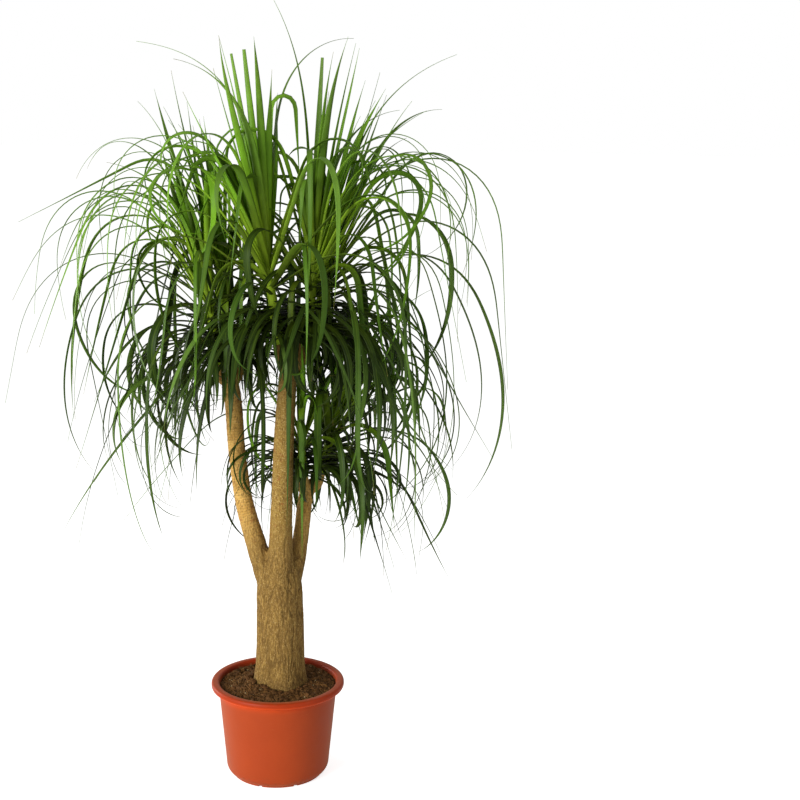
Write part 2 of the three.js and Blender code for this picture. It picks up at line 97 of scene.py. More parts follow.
def meshFrom(name, verts, faces=(), edges=()):
    mesh = bpy.data.meshes.new(name)
    mesh.from_pydata([tuple(v) for v in verts], list(edges), list(faces))
    mesh.update()
    return mesh


def loft(rings):
    # verts and faces of a closed skin over rings that all have the same number of points
    count = len(rings[0])
    verts = [p for ring in rings for p in ring]
    faces = []
    for k in range(len(rings) - 1):
        for j in range(count):
            a = k * count + j
            b = k * count + (j + 1) % count
            faces.append((a, b, b + count, a + count))
    faces.append(tuple(reversed(range(count))))
    faces.append(tuple(range((len(rings) - 1) * count, len(rings) * count)))
    return verts, faces


def levelRing(radii, sides, z, x=0.0):
    # a flat ring of points, whose radius is one number or one for each point
    radii = np.broadcast_to(radii, sides)
    return [(x + r * math.cos(a), r * math.sin(a), z) for r, a in zip(radii, around(sides))]


def ringAbout(middle, along, radius, sides):
    across = unit(np.array([1.0, 0, 0]) - along[0] * along)
    other = np.cross(along, across)
    return [middle + radius * (math.cos(t) * across + math.sin(t) * other) for t in around(sides)]


def ringsAlong(line, radii, sides):
    ways = np.gradient(line, axis=0)
    return [ringAbout(at, unit(way), r, sides) for at, way, r in zip(line, ways, radii)]


def faceOutwards(mesh):
    work = bmesh.new()
    work.from_mesh(mesh)
    bmesh.ops.remove_doubles(work, verts=work.verts, dist=1e-6)
    bmesh.ops.recalc_face_normals(work, faces=work.faces)
    work.to_mesh(mesh)
    work.free()


def settled(thing):
    # the evaluated shape as a plain mesh, with no modifier left
    bpy.context.view_layer.update()
    graph = bpy.context.evaluated_depsgraph_get()
    mesh = bpy.data.meshes.new_from_object(thing.evaluated_get(graph))
    thing.modifiers.clear()
    old, thing.data = thing.data, mesh
    bpy.data.meshes.remove(old)
    return thing


def smoothShade(mesh):
    mesh.polygons.foreach_set("use_smooth", [True] * len(mesh.polygons))


def pointValues(mesh, key):
    values = np.zeros(len(mesh.vertices) * 3)
    mesh.vertices.foreach_get(key, values)
    return values.reshape(-1, 3)


def store(mesh, fields):
    # named numbers or directions, one for each point
    for name, values in fields.items():
        kind, key = ("FLOAT", "value") if values.ndim == 1 else ("FLOAT_VECTOR", "vector")
        mesh.attributes.new(name, kind, "POINT").data.foreach_set(key, values.ravel())


def tellOf(piece):
    print(piece.name, sum(len(p.vertices) - 2 for p in piece.data.polygons), "triangles")


# Node trees

class NodeTree:
    # short ways to add nodes to a tree and to join them

    def __init__(self, tree):
        self.tree = tree

    def feed(self, socket, value):
        if isinstance(value, bpy.types.NodeSocket):
            self.tree.links.new(value, socket)
        elif value is not None:
            socket.default_value = value

    def into(self, made, inputs):
        for key, value in inputs.items():
            self.feed(made.inputs[key], value)

    def add(self, kind, settings=None, **inputs):
        made = self.tree.nodes.new(kind)
        for key, value in (settings or {}).items():
            setattr(made, key, value)
        self.into(made, inputs)
        return made

    def out(self, kind, settings=None, **inputs):
        made = self.add(kind, settings, **inputs)
        return next(socket for socket in made.outputs if socket.enabled)

    def maths(self, operation, a, b=None):
        made = self.add("ShaderNodeMath", {"operation": operation})
        self.into(made, {0: a, 1: b})
        return made.outputs[0]

    def times(self, a, b):
        return self.maths("MULTIPLY", a, b)

    def plus(self, a, b):
        return self.maths("ADD", a, b)

    def minus(self, a, b):
        return self.maths("SUBTRACT", a, b)

    def vector(self, operation, a, b=None, scale=None):
        made = self.add("ShaderNodeVectorMath", {"operation": operation})
        self.into(made, {0: a, 1: b, 3: scale})
        return made.outputs[1 if operation == "LENGTH" else 0]

    def parts(self, vector):
        return self.add("ShaderNodeSeparateXYZ", Vector=vector).outputs

    def ease(self, value, low, high, start=0.0, end=1.0):
        made = self.add("ShaderNodeMapRange", {"interpolation_type": "SMOOTHSTEP"})
        self.into(made, {"Value": value, "From Min": low, "From Max": high, "To Min": start, "To Max": end})
        return made.outputs[0]

    def mix(self, share, a, b):
        made = self.add("ShaderNodeMix", {"data_type": "RGBA"})
        colours = [socket for socket in made.inputs if socket.type == "RGBA"]
        for socket, value in zip([made.inputs[0]] + colours, (share, a, b)):
            self.feed(socket, value)
        return next(socket for socket in made.outputs if socket.type == "RGBA")

    def over(self, below, colour, mask, strength=1):
        # a screen colour laid over what is below it, where the mask says
        return self.mix(mask if strength == 1 else self.times(mask, strength), below, paint(*colour))

    def speckle(self, place, scale, detail, roughness):
        return self.out("ShaderNodeTexNoise", Vector=place, Scale=scale, Detail=detail, Roughness=roughness)

    def mottled(self, place, patch, grain, share):
        made = self.add("ShaderNodeGroup", {"node_tree": mottle})
        self.into(made, {"Place": place, "Patch scale": patch, "Grain scale": grain, "Grain share": share})
        return made.outputs["Mask"], made.outputs["Grain"]

    def streaked(self, place, stretch, low, high):
        made = self.add("ShaderNodeGroup", {"node_tree": streaks},
                        Place=place, Stretch=stretch, Low=low, High=high)
        return made.outputs["Lines"], made.outputs["Raw"]

    def place(self):
        return self.add("ShaderNodeTexCoord").outputs["Object"]

    def attribute(self, name):
        return self.add("ShaderNodeAttribute", {"attribute_name": name}).outputs["Fac"]

    def bump(self, height, strength, distance):
        return self.out("ShaderNodeBump", Strength=strength, Distance=distance, Height=height)

    def cameraRay(self):
        return self.add("ShaderNodeLightPath").outputs["Is Camera Ray"]

    def draw(self, kind, low, high, seed):
        # a seeded random number or vector for each instance
        made = self.add("FunctionNodeRandomValue", {"data_type": kind}, Seed=seed)
        ends = [socket for socket in made.inputs if socket.enabled and socket.type in ("VALUE", "VECTOR")]
        self.feed(ends[0], low)
        self.feed(ends[1], high)
        return next(socket for socket in made.outputs if socket.enabled)

    def dress(self, geometry, finish, out):
        # instances made real, shaded smooth and given their finish
        real = self.out("GeometryNodeRealizeInstances", Geometry=geometry)
        shaded = self.out("GeometryNodeSetShadeSmooth", Geometry=real)
        self.feed(out, self.out("GeometryNodeSetMaterial", Geometry=shaded, Material=finish))


def newGroup(name, kind, inputs, outputs):
    # each input is given by its usual value, or by its kind alone
    kinds = {float: "Float", int: "Int", tuple: "Vector"}
    group = bpy.data.node_groups.new(name, kind)
    for label, value in inputs.items():
        valued = type(value) in kinds
        socketType = "NodeSocket" + (kinds[type(value)] if valued else value)
        socket = group.interface.new_socket(name=label, in_out="INPUT", socket_type=socketType)
        if valued:
            socket.default_value = value
    for label, socketKind in outputs.items():
        group.interface.new_socket(name=label, in_out="OUTPUT", socket_type="NodeSocket" + socketKind)
    return NodeTree(group), group.nodes.new("NodeGroupInput").outputs, group.nodes.new("NodeGroupOutput").inputs


def runTree(thing, tree, inputs):
    # a Geometry Nodes modifier whose named inputs are set by their sockets' identifiers, then settled
    modifier = thing.modifiers.new(tree.name, "NODES")
    modifier.node_group = tree
    idOf = {item.name: item.identifier for item in tree.interface.items_tree if item.in_out == "INPUT"}
    for key, value in inputs.items():
        modifier[idOf[key]] = value
    return settled(thing)


def newFinish(name):
    finish = bpy.data.materials.new(name)
    finish.use_nodes = True
    shader = next(made for made in finish.node_tree.nodes if made.type == "BSDF_PRINCIPLED")
    return finish, NodeTree(finish.node_tree), shader


# Shader groups that several finishes share

def makeMottle():
    # broad cloudy patches with a finer grain over them
    t, given, out = newGroup(
        "mottle", "ShaderNodeTree",
        {"Place": "Vector", "Patch scale": 8.0, "Grain scale": 120.0, "Grain share": 0.4},
        {"Mask": "Float", "Grain": "Float"})
    patches = t.ease(t.speckle(given["Place"], given["Patch scale"], 3.0, 0.6), 0.3, 0.7)
    grain = t.speckle(given["Place"], given["Grain scale"], 2.0, 0.6)
    patches = t.times(patches, t.minus(1.0, given["Grain share"]))
    t.feed(out["Mask"], t.plus(patches, t.times(grain, given["Grain share"])))
    t.feed(out["Grain"], grain)
    return t.tree


def makeStreaks():
    # fine lines drawn out along one direction of the given place
    t, given, out = newGroup(
        "streaks", "ShaderNodeTree",
        {"Place": "Vector", "Stretch": (1.0, 1.0, 1.0), "Low": 0.35, "High": 0.65},
        {"Lines": "Float", "Raw": "Float"})
    raw = t.speckle(t.vector("MULTIPLY", given["Place"], given["Stretch"]), 1.0, 4.0, 0.65)
    t.feed(out["Lines"], t.ease(raw, given["Low"], given["High"]))
    t.feed(out["Raw"], raw)
    return t.tree


mottle = makeMottle()
streaks = makeStreaks()


# The camera stands where the photograph was taken from

camera = {
    "place": (0.0, -3.0, 1.4126), "yaw": 4.771, "pitch": 11.372, "roll": 0.943,  # metres and degrees
    "focalPixels": 1491.7, "framePixels": 800, "sensor": 36.0, "farthest": 60,
}


def makeCamera():
    yaw, pitch, roll = (math.radians(camera[key]) for key in ("yaw", "pitch", "roll"))
    ahead = np.array([math.sin(yaw) * math.cos(pitch), math.cos(yaw) * math.cos(pitch), -math.sin(pitch)])
    level = np.array([math.cos(yaw), -math.sin(yaw), 0])
    upright = np.cross(level, ahead)
    right = math.cos(roll) * level + math.sin(roll) * upright
    up = math.cos(roll) * upright - math.sin(roll) * level
    lens = bpy.data.cameras.new("photoCamera")
    lens.sensor_width = camera["sensor"]
    lens.lens = camera["focalPixels"] / camera["framePixels"] * camera["sensor"]
    lens.clip_end = camera["farthest"]
    eye = newObject("photoCamera", lens)
    turned = Matrix([list(right), list(up), list(-ahead)]).transposed().to_4x4()
    eye.matrix_world = Matrix.Translation(camera["place"]) @ turned
    bpy.context.scene.camera = eye


makeCamera()
print("camera set")


# Pot: moulded plastic, turned from one profile

pot = {
    "rim": 0.140, "height": 0.203, "lipHeight": 0.013, "lipWidth": 0.016,
    "waist": 0.124, "base": 0.108, "foot": 0.097, "footHeight": 0.004,
    "corner": 0.015, "step": 0.006, "wall": 0.0024, "floor": 0.005, "pole": 0.0005,
    "sides": 168, "arcSteps": 5, "sharpFrom": 38,  # degrees
    "holes": 8, "holeRadius": 0.006, "holeCircle": 0.084, "channelWidth": 0.0084, "channelDepth": 0.0026,
    "oval": 0.0016, "wavy": 0.0007, "roundBelow": 0.02,  # thin moulded plastic is never quite round
}


def roundedOutline(corners):
    # corners are (radius, height, rounding); a rounded corner becomes a short arc between its two sides
    outline = []
    for k, (r, z, rounding) in enumerate(corners):
        here = np.array([r, z])
        if rounding == 0:
            outline.append(here)
            continue
        before = np.array(corners[k - 1][:2]) - here
        after = np.array(corners[k + 1][:2]) - here
        reach = min(rounding, 0.49 * np.linalg.norm(before), 0.49 * np.linalg.norm(after))
        start = here + unit(before) * reach
        end = here + unit(after) * reach
        for step in range(pot["arcSteps"] + 1):
            t = step / pot["arcSteps"]
            outline.append((1 - t) ** 2 * start + 2 * t * (1 - t) * here + t ** 2 * end)
    return outline


def channelCutters():
    # the drain holes, each with its channel out to the wall
    verts, faces = [], []
    reach = pot["rim"] - pot["holeCircle"]
    size = Matrix.Diagonal((reach, pot["channelWidth"], 2 * pot["channelDepth"], 1))
    for k in range(pot["holes"]):
        turn = Matrix.Rotation(2 * math.pi * (k + 0.5) / pot["holes"], 4, "Z")
        hole = bmesh.new()
        bmesh.ops.create_cone(
            hole, cap_ends=True, segments=24, radius1=pot["holeRadius"], radius2=pot["holeRadius"],
            depth=4 * pot["floor"], matrix=turn @ Matrix.Translation((pot["holeCircle"], 0, 0)))
        middle = Matrix.Translation((pot["holeCircle"] + reach / 2, 0, 0))
        bmesh.ops.create_cube(hole, size=1, matrix=turn @ middle @ size)
        faces += [tuple(v.index + len(verts) for v in face.verts) for face in hole.faces]
        verts += [tuple(v.co) for v in hole.verts]
        hole.free()
    return newObject("channelCutters", meshFrom("channelCutters", verts, faces))


def makePot():
    p = pot
    under = p["height"] - p["lipHeight"]
    inner = p["rim"] - p["lipWidth"]
    corners = [
        (p["pole"], 0, 0), (p["foot"], 0, 0.0015), (p["foot"], p["footHeight"], 0.001),
        (p["base"] - 0.005, p["footHeight"] + 0.003, 0.003), (p["base"], p["corner"], 0.007),
        (p["waist"], under - p["step"], 0.003), (p["waist"] + p["wall"] / 2, under, 0.001),
        (p["rim"], under, 0.0048), (p["rim"], p["height"], 0.0055), (inner, p["height"], 0.0045),
        (p["waist"] - p["wall"], under - p["step"], 0.003), (p["base"] - p["wall"], p["corner"], 0.004),
        (p["foot"] - p["wall"], p["floor"], 0.003), (p["pole"], p["floor"], 0),
    ]
    verts, faces = loft([levelRing(r, p["sides"], z) for r, z in roundedOutline(corners)])
    shell = newObject("growerPot", meshFrom("growerPot", verts, faces))
    faceOutwards(shell.data)
    cutters = channelCutters()
    faceOutwards(cutters.data)
    cut = shell.modifiers.new("channels", "BOOLEAN")
    cut.object = cutters
    cut.operation = "DIFFERENCE"
    cut.solver = "MANIFOLD"
    settled(shell)
    bpy.data.objects.remove(cutters)
    for vert in shell.data.vertices:
        if vert.co.z > p["roundBelow"]:
            angle = math.atan2(vert.co.y, vert.co.x)
            out = 1 + p["oval"] * math.sin(2 * angle + 0.7) + p["wavy"] * math.sin(5 * angle + 2.1)
            vert.co.x *= out
            vert.co.y *= out
    shell.data.update()
    smoothShade(shell.data)
    shell.data.set_sharp_from_angle(angle=math.radians(p["sharpFrom"]))
    shell.data.materials.clear()
    shell.data.materials.append(pottedPlastic())
    return shell


def pottedPlastic():
    finish, t, shader = newFinish("pottedPlastic")
    place = t.place()
    height = t.parts(place)[2]
    clouds, grain = t.mottled(place, 9.0, 260.0, 0.35)
    rubbed, _ = t.streaked(place, (30.0, 30.0, 700.0), 0.62, 0.74)
    # painted shade: the lip is darkened, as its top catches more of the light from above than the wall below
    shadedLip = t.ease(height, pot["height"] - pot["lipHeight"], pot["height"] - pot["lipHeight"] / 2)
    colour = t.mix(clouds, paint(214, 64, 4), paint(228, 74, 8))
    colour = t.over(colour, (162, 48, 6), shadedLip, 0.95)
    colour = t.over(colour, (232, 138, 78), rubbed, 0.22)
    # a little soil dust settles on the lip's top and at the foot
    dustHigh = t.times(t.ease(height, pot["height"] - 0.006, pot["height"] - 0.001), 0.5)
    specks = t.ease(t.speckle(place, 95.0, 4.0, 0.7), 0.5, 0.68)
    dust = t.times(t.plus(dustHigh, t.ease(height, 0.035, 0.004)), specks)
    colour = t.over(colour, (120, 74, 44), dust, 0.5)
    # the inner wall, above the soil, is darker and browner
    radius = t.vector("LENGTH", t.vector("MULTIPLY", place, (1.0, 1.0, 0.0)))
    inside = t.times(t.ease(radius, 0.1255, 0.1225), t.ease(height, 0.2, 0.193))
    colour = t.over(colour, (104, 62, 34), inside, 0.55)
    rough = t.plus(t.times(clouds, 0.12), t.plus(t.times(dust, 0.25), 0.36))
    t.into(shader, {"Base Color": colour, "Roughness": rough, "Specular IOR Level": 0.18, "Sheen Weight": 0.22,
                    "Sheen Roughness": 0.4, "Sheen Tint": (1.0, 0.72, 0.36, 1.0),
                    "Normal": t.bump(grain, 0.16, 0.0006)})
    return finish


growerPot = makePot()
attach(growerPot, "root")
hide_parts("pot")
tellOf(growerPot)


# Trunk: the butt, three limbs and the short branch under each head, joined in one skin of bark

trunk = {
    # height, middle x and radius up the butt; the lowest five lie in the soil
    "rings": [(0.070, 0.004, 0.034), (0.096, 0.004, 0.060), (0.140, 0.004, 0.071), (0.174, 0.004, 0.069),
              (0.192, 0.004, 0.062), (0.212, 0.004, 0.055), (0.250, 0.004, 0.051), (0.305, 0.004, 0.0495),
              (0.360, 0.003, 0.048), (0.405, 0.002, 0.047), (0.438, 0.002, 0.042), (0.468, 0.003, 0.030)],
    "flute": 0.035, "flutes": 5, "sides": 96, "limbSides": 48, "ringsPerStretch": 5,
    "voxel": 0.0022, "smoothing": 3,
    "fissureDepth": 0.0019, "plateRelief": 0.0009, "limbRelief": 0.0007,
    "swellStep": 0.0135, "scarStep": 0.0058,  # metres from ring to ring up a limb
    "buried": (0.186, 0.2),  # no bark stands out below these heights
    "buttTop": (0.455, 0.600),  # heights between which butt bark gives way to limb bark
}
# each limb's paintedShade darkens its bark as painted shade; the middle limb is painted darker for the shade of
# the leaves hanging before it
limbs = {
    "left": {"path": [(-0.012, 0.002, 0.385), (-0.026, 0.006, 0.440), (-0.048, 0.014, 0.506),
                      (-0.071, 0.024, 0.590), (-0.085, 0.034, 0.694), (-0.091, 0.041, 0.780),
                      (-0.097, 0.045, 0.832)],
             "radius": [0.024, 0.025, 0.021, 0.0185, 0.018, 0.018, 0.017], "paintedShade": 0.0},
    "centre": {"path": [(0.003, -0.004, 0.385), (0.004, -0.008, 0.445), (0.006, -0.014, 0.513),
                        (0.008, -0.020, 0.601), (0.012, -0.026, 0.729), (0.016, -0.030, 0.800),
                        (0.020, -0.030, 0.866)],
               "radius": [0.030, 0.029, 0.0245, 0.022, 0.0205, 0.0195, 0.018], "paintedShade": 0.75},
    "right": {"path": [(0.018, 0.004, 0.385), (0.032, 0.009, 0.435), (0.047, 0.020, 0.505),
                       (0.056, 0.033, 0.580), (0.062, 0.042, 0.606)],
              "radius": [0.022, 0.021, 0.0165, 0.0155, 0.015], "paintedShade": 0.05},
}
stemEnd = {"foot": 0.0125, "tip": 0.007, "bend": 0.022, "sunk": 0.012, "gap": 0.0003, "sides": 40}

# Each head stands on a short branch of its limb, from its foot to its growing tip, and has its own seed
# a head's tone scales its leaves' tones; below 1 it is painted shade, on the right heads away from the light
# and on the low heads under the crown
headColumns = ("name", "limb", "foot", "tip", "vigour", "leaves", "skirt", "tone")
headRows = [
    ("left_outer", "left", (-0.122, 0.041, 0.876), (-0.140, 0.030, 1.008), 0.98, 53, 19, 1.0),
    ("left_inner", "left", (-0.088, 0.062, 0.876), (-0.113, 0.068, 1.020), 1.0, 54, 20, 1.0),
    ("front_left", "centre", (0.004, -0.052, 0.934), (-0.023, -0.070, 1.095), 1.1, 60, 24, 1.0),
    ("front_right", "centre", (0.054, -0.034, 0.932), (0.074, -0.038, 1.080), 1.02, 62, 26, 0.62),
    ("back_right", "centre", (0.064, 0.018, 0.924), (0.102, 0.036, 1.068), 1.03, 60, 22, 0.68),
    ("low_inner", "right", (0.051, 0.028, 0.640), (0.048, 0.014, 0.716), 0.62, 50, 24, 0.7),
    ("low_outer", "right", (0.088, 0.062, 0.640), (0.118, 0.078, 0.733), 0.82, 56, 28, 0.7),
]
heads = [dict(zip(headColumns, row), seed=k + 1) for k, row in enumerate(headRows)]


def throughPoints(points, steps):
    # a smooth line through the points, with its place among them at each step
    points = [np.array(p, float) for p in points]
    ends = [2 * points[0] - points[1]] + points + [2 * points[-1] - points[-2]]
    line, share = [], []
    for k in range(len(points) - 1):
        a, b, c, d = ends[k:k + 4]
        for step in range(steps + (k == len(points) - 2)):
            t = step / steps
            line.append(0.5 * (2 * b + (c - a) * t + (2 * a - 5 * b + 4 * c - d) * t ** 2
                               + (3 * b - a - 3 * c + d) * t ** 3))
            share.append(k + t)
    return np.array(line), np.array(share)


def fluted(radius, sides, z):
    # the butt isn't quite round
    angles = around(sides)
    wave = np.sin(trunk["flutes"] * angles + 0.9 + z * 4) + 0.5 * np.sin(3 * angles - z * 10)
    return radius * (1 + trunk["flute"] * wave)


def buttRings():
    line, _ = throughPoints(trunk["rings"], 4)
    return [levelRing(fluted(r, trunk["sides"], z), trunk["sides"], z, x) for z, x, r in line]


def limbLine(limb):
    line, share = throughPoints(limb["path"], trunk["ringsPerStretch"])
    return line, np.interp(share, range(len(limb["radius"])), limb["radius"])


def branchRings(head):
    limb = limbs[head["limb"]]
    fork = np.array(limb["path"][-1])
    foot, tip = np.array(head["foot"]), np.array(head["tip"])
    up = unit(tip - foot)
    top = foot - up * stemEnd["gap"]
    bend = top - up * stemEnd["bend"]
    leaning = unit(bend - fork)
    line, share = throughPoints([fork - leaning * stemEnd["sunk"], between(fork, bend, 0.5), bend, top], 5)
    radii = [0.8 * limb["radius"][-1], 0.0155, stemEnd["foot"] + 0.001, stemEnd["foot"]]
    return ringsAlong(line, np.interp(share, [0, 1, 2, 3], radii), stemEnd["sides"])


def barkFields(points):
    # for each point: how far up its limb it lies, how much of it is limb rather than butt, and how much painted
    # shade its limb gets
    rows = []
    for limb in limbs.values():
        line, radius = limbLine(limb)
        along = np.concatenate([[0], np.cumsum(np.linalg.norm(np.diff(line, axis=0), axis=1))])
        fine = np.linspace(0, along[-1], 160)
        columns = [np.interp(fine, along, values) for values in (*line.T, radius)]
        rows.append(np.stack([*columns, fine, np.full(len(fine), limb["paintedShade"])], axis=1))
    samples = np.concatenate(rows)
    nearest = np.zeros(len(points), int)
    for start in range(0, len(points), 4000):
        part = points[start:start + 4000]
        apart = np.linalg.norm(part[:, None, :] - samples[None, :, :3], axis=2)
        nearest[start:start + 4000] = (apart / samples[None, :, 3]).argmin(axis=1)
    return samples[nearest, 4], smooth(*trunk["buttTop"], points[:, 2]), samples[nearest, 5]


def reliefAt(point, limbShare, upLimb):
    # corky plates between upright fissures on the butt; soft swellings and scar rings on the limbs
    x, y, z = point
    wander = noise.noise(Vector((x * 40, y * 40, z * 14 + 7))) * 0.7
    crack = abs(noise.noise(Vector((x * 105 + wander, y * 105 + wander, z * 17))))
    fine = abs(noise.noise(Vector((x * 210 - wander, y * 210, z * 42 + 3))))
    plates = noise.noise(Vector((x * 60, y * 60, z * 30 + 11)))
    butt = (-trunk["fissureDepth"] * (1 - smooth(0.0, 0.17, crack))
            - 0.4 * trunk["fissureDepth"] * (1 - smooth(0.0, 0.2, fine)) + trunk["plateRelief"] * plates)
    swell = noise.noise(Vector((x * 22, y * 22, z * 22)))
    lumps = noise.noise(Vector((x * 75, y * 75, z * 110 + 5)))
    rings = math.sin(upLimb * 2 * math.pi / trunk["swellStep"] + 2.2 * swell)
    limb = trunk["limbRelief"] * (0.7 * swell + 0.55 * lumps + 0.3 * rings)
    return butt * (1 - limbShare) + limb * limbShare


def makeTrunk():
    stretches = [buttRings()] + [ringsAlong(*limbLine(limb), trunk["limbSides"]) for limb in limbs.values()]
    verts, faces = [], []
    for rings in stretches + [branchRings(head) for head in heads]:
        moreVerts, moreFaces = loft(rings)
        faces += [tuple(i + len(verts) for i in face) for face in moreFaces]
        verts += moreVerts
    wood = newObject("ponytailTrunk", meshFrom("ponytailTrunk", verts, faces))
    faceOutwards(wood.data)
    remesh = wood.modifiers.new("skin", "REMESH")
    remesh.mode = "VOXEL"
    remesh.voxel_size = trunk["voxel"]
    soften = wood.modifiers.new("soften", "SMOOTH")
    soften.iterations = trunk["smoothing"]
    settled(wood)
    points, normals = pointValues(wood.data, "co"), pointValues(wood.data, "normal")
    upLimb, limbShare, limbPaintedShade = barkFields(points)
    relief = np.array([float(reliefAt(p, s, u)) for p, s, u in zip(points, limbShare, upLimb)])
    relief = np.where(relief > 0, relief * smooth(*trunk["buried"], points[:, 2]), relief)
    points += normals * relief[:, None]
    wood.data.vertices.foreach_set("co", points.ravel())
    store(wood.data, {"upLimb": upLimb, "limbShare": limbShare, "limbPaintedShade": limbPaintedShade,
                      "barkRelief": relief * 1000})
    wood.data.update()
    smoothShade(wood.data)
    wood.data.materials.append(palmBark())
    return wood


def palmBark():
    finish, t, shader = newFinish("palmBark")
    place = t.place()
    height = t.parts(place)[2]
    limbShare = t.attribute("limbShare")
    clouds, grain = t.mottled(place, 24.0, 420.0, 0.45)
    # butt: olive tan plates with dark upright fissures, and pale and dark flecks all over
    fissures, _ = t.streaked(place, (400.0, 400.0, 90.0), 0.4, 0.6)
    flecks, _ = t.streaked(place, (520.0, 520.0, 260.0), 0.53, 0.66)
    pits, _ = t.streaked(place, (360.0, 360.0, 190.0), 0.54, 0.7)
    butt = t.mix(fissures, paint(122, 90, 40), paint(162, 128, 64))
    butt = t.over(butt, (134, 104, 50), clouds, 0.4)
    butt = t.over(butt, (210, 178, 112), flecks, 0.6)
    butt = t.over(butt, (84, 60, 26), pits, 0.5)
    butt = t.over(butt, (78, 54, 22), t.ease(t.attribute("barkRelief"), -0.2, -1.7), 0.36)
    # limbs: yellow tan, with fine scar rings, short upright cracks and russet patches
    swirl = t.speckle(place, 60.0, 3.0, 0.6)
    phase = t.plus(t.times(t.attribute("upLimb"), 2 * math.pi / trunk["scarStep"]), t.times(swirl, 11.0))
    rings = t.ease(t.maths("SINE", phase), 0.1, 0.95)
    dashes, _ = t.streaked(place, (420.0, 420.0, 130.0), 0.5, 0.64)
    scales, _ = t.streaked(place, (300.0, 300.0, 420.0), 0.52, 0.66)
    limb = t.mix(clouds, paint(198, 150, 70), paint(230, 186, 102))
    # painted shade, darkest on the middle limb
    limb = t.over(limb, (124, 102, 42), t.attribute("limbPaintedShade"))
    limb = t.over(limb, (132, 92, 40), rings, 0.3)
    limb = t.over(limb, (228, 196, 126), scales, 0.6)
    limb = t.over(limb, (108, 74, 30), dashes, 0.7)
    limb = t.over(limb, (142, 78, 36), t.ease(t.speckle(place, 52.0, 5.0, 0.75), 0.54, 0.68), 0.7)
    limb = t.over(limb, (96, 72, 30), t.ease(height, 0.70, 0.93), 0.5)  # shaded under the leaves
    bark = t.mix(limbShare, butt, limb)
    soiled = t.times(t.ease(height, 0.235, 0.196), t.ease(grain, 0.35, 0.6))
    bark = t.over(bark, (70, 46, 22), soiled, 0.6)
    buttLift = t.plus(fissures, t.times(grain, 0.5))
    limbLift = t.minus(t.times(grain, 0.6), t.plus(t.times(rings, 0.25), t.times(dashes, 0.6)))
    lift = t.mix(limbShare, buttLift, limbLift)
    t.into(shader, {"Base Color": bark, "Roughness": 0.86, "Specular IOR Level": 0.25,
                    "Normal": t.bump(lift, 0.7, 0.0012)})
    return finish


ponytailTrunk = makeTrunk()
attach(ponytailTrunk, "root")
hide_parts("trunk")
tellOf(ponytailTrunk)


# Soil: one body with a clotted top, and loose crumbs, chips and fibres lying on it

soil = {
    "level": 0.195, "mound": 0.007, "lump": 0.0026, "sides": 168, "topRings": 46,
    "gap": 0.0009, "clods": 0.0032, "clodScale": 95, "grit": 0.0013, "gritScale": 260,
    "heap": {"x": -0.056, "y": -0.026, "spread": 0.026, "height": 0.012},  # against the trunk's left side
    "offTrunk": 0.0012, "ringsBelowTop": 0.004, "brim": 0.0002, "offFoot": 0.006, "offFloor": 0.0004,
    "bitsAbove": 0.185, "bitsFacing": 0.35, "bitsOffWall": 0.003,
}
looseBits = {
    "soilCrumbs": {"Per square metre": 58000, "Smallest": 0.0011, "Largest": 0.0038, "Seed": 11,
                   "Flatness": 0.75, "Length": 1.0},
    "barkChips": {"Per square metre": 5200, "Smallest": 0.0022, "Largest": 0.006, "Seed": 23, "Flatness": 0.35,
                  "Length": 1.7},
    "paleBits": {"Per square metre": 3600, "Smallest": 0.0007, "Largest": 0.0019, "Seed": 31, "Flatness": 0.8,
                 "Length": 1.1},
    "soilFibres": {"Per square metre": 9000, "Smallest": 0.0005, "Largest": 0.0009, "Seed": 47, "Flatness": 0.7,
                   "Length": 12.0},
}
looseTones = {
    "soilCrumbs": ("peatCrumb", (52, 33, 14), (122, 84, 42)),
    "barkChips": ("chipBrown", (66, 42, 22), (132, 92, 52)),
    "paleBits": ("paleGrit", (150, 128, 88), (198, 178, 134)),
    "soilFibres": ("fibreTan", (84, 56, 30), (150, 112, 66)),
}


def potWallAt(z):
    under = pot["height"] - pot["lipHeight"] - pot["step"]
    share = min((z - pot["corner"]) / (under - pot["corner"]), 1.06)
    return between(pot["base"], pot["waist"], share) - pot["wall"] - soil["gap"]


def soilTop(x, y):
    out = math.hypot(x, y) / pot["waist"]
    lumps = math.sin(x * 83 + 1.3) * math.cos(y * 71) + 0.6 * math.sin(x * 170 - y * 140 + 0.5)
    broad = soil["mound"] * (1 - smooth(0.35, 1, out)) + soil["lump"] * lumps * (1 - out ** 6) - soil["lump"]
    heap = soil["heap"]
    fromHeap = (x - heap["x"]) ** 2 + (y - heap["y"]) ** 2
    broad += heap["height"] * math.exp(-fromHeap / (2 * heap["spread"] ** 2))
    clods = noise.fractal(Vector((x, y, 0.3)) * soil["clodScale"], 0.8, 2.0, 3) * soil["clods"]
    grit = noise.noise(Vector((x, y, 0.7)) * soil["gritScale"]) * soil["grit"]
    return soil["level"] + float(broad) + (clods + grit) * (1 - 0.5 * out ** 8)


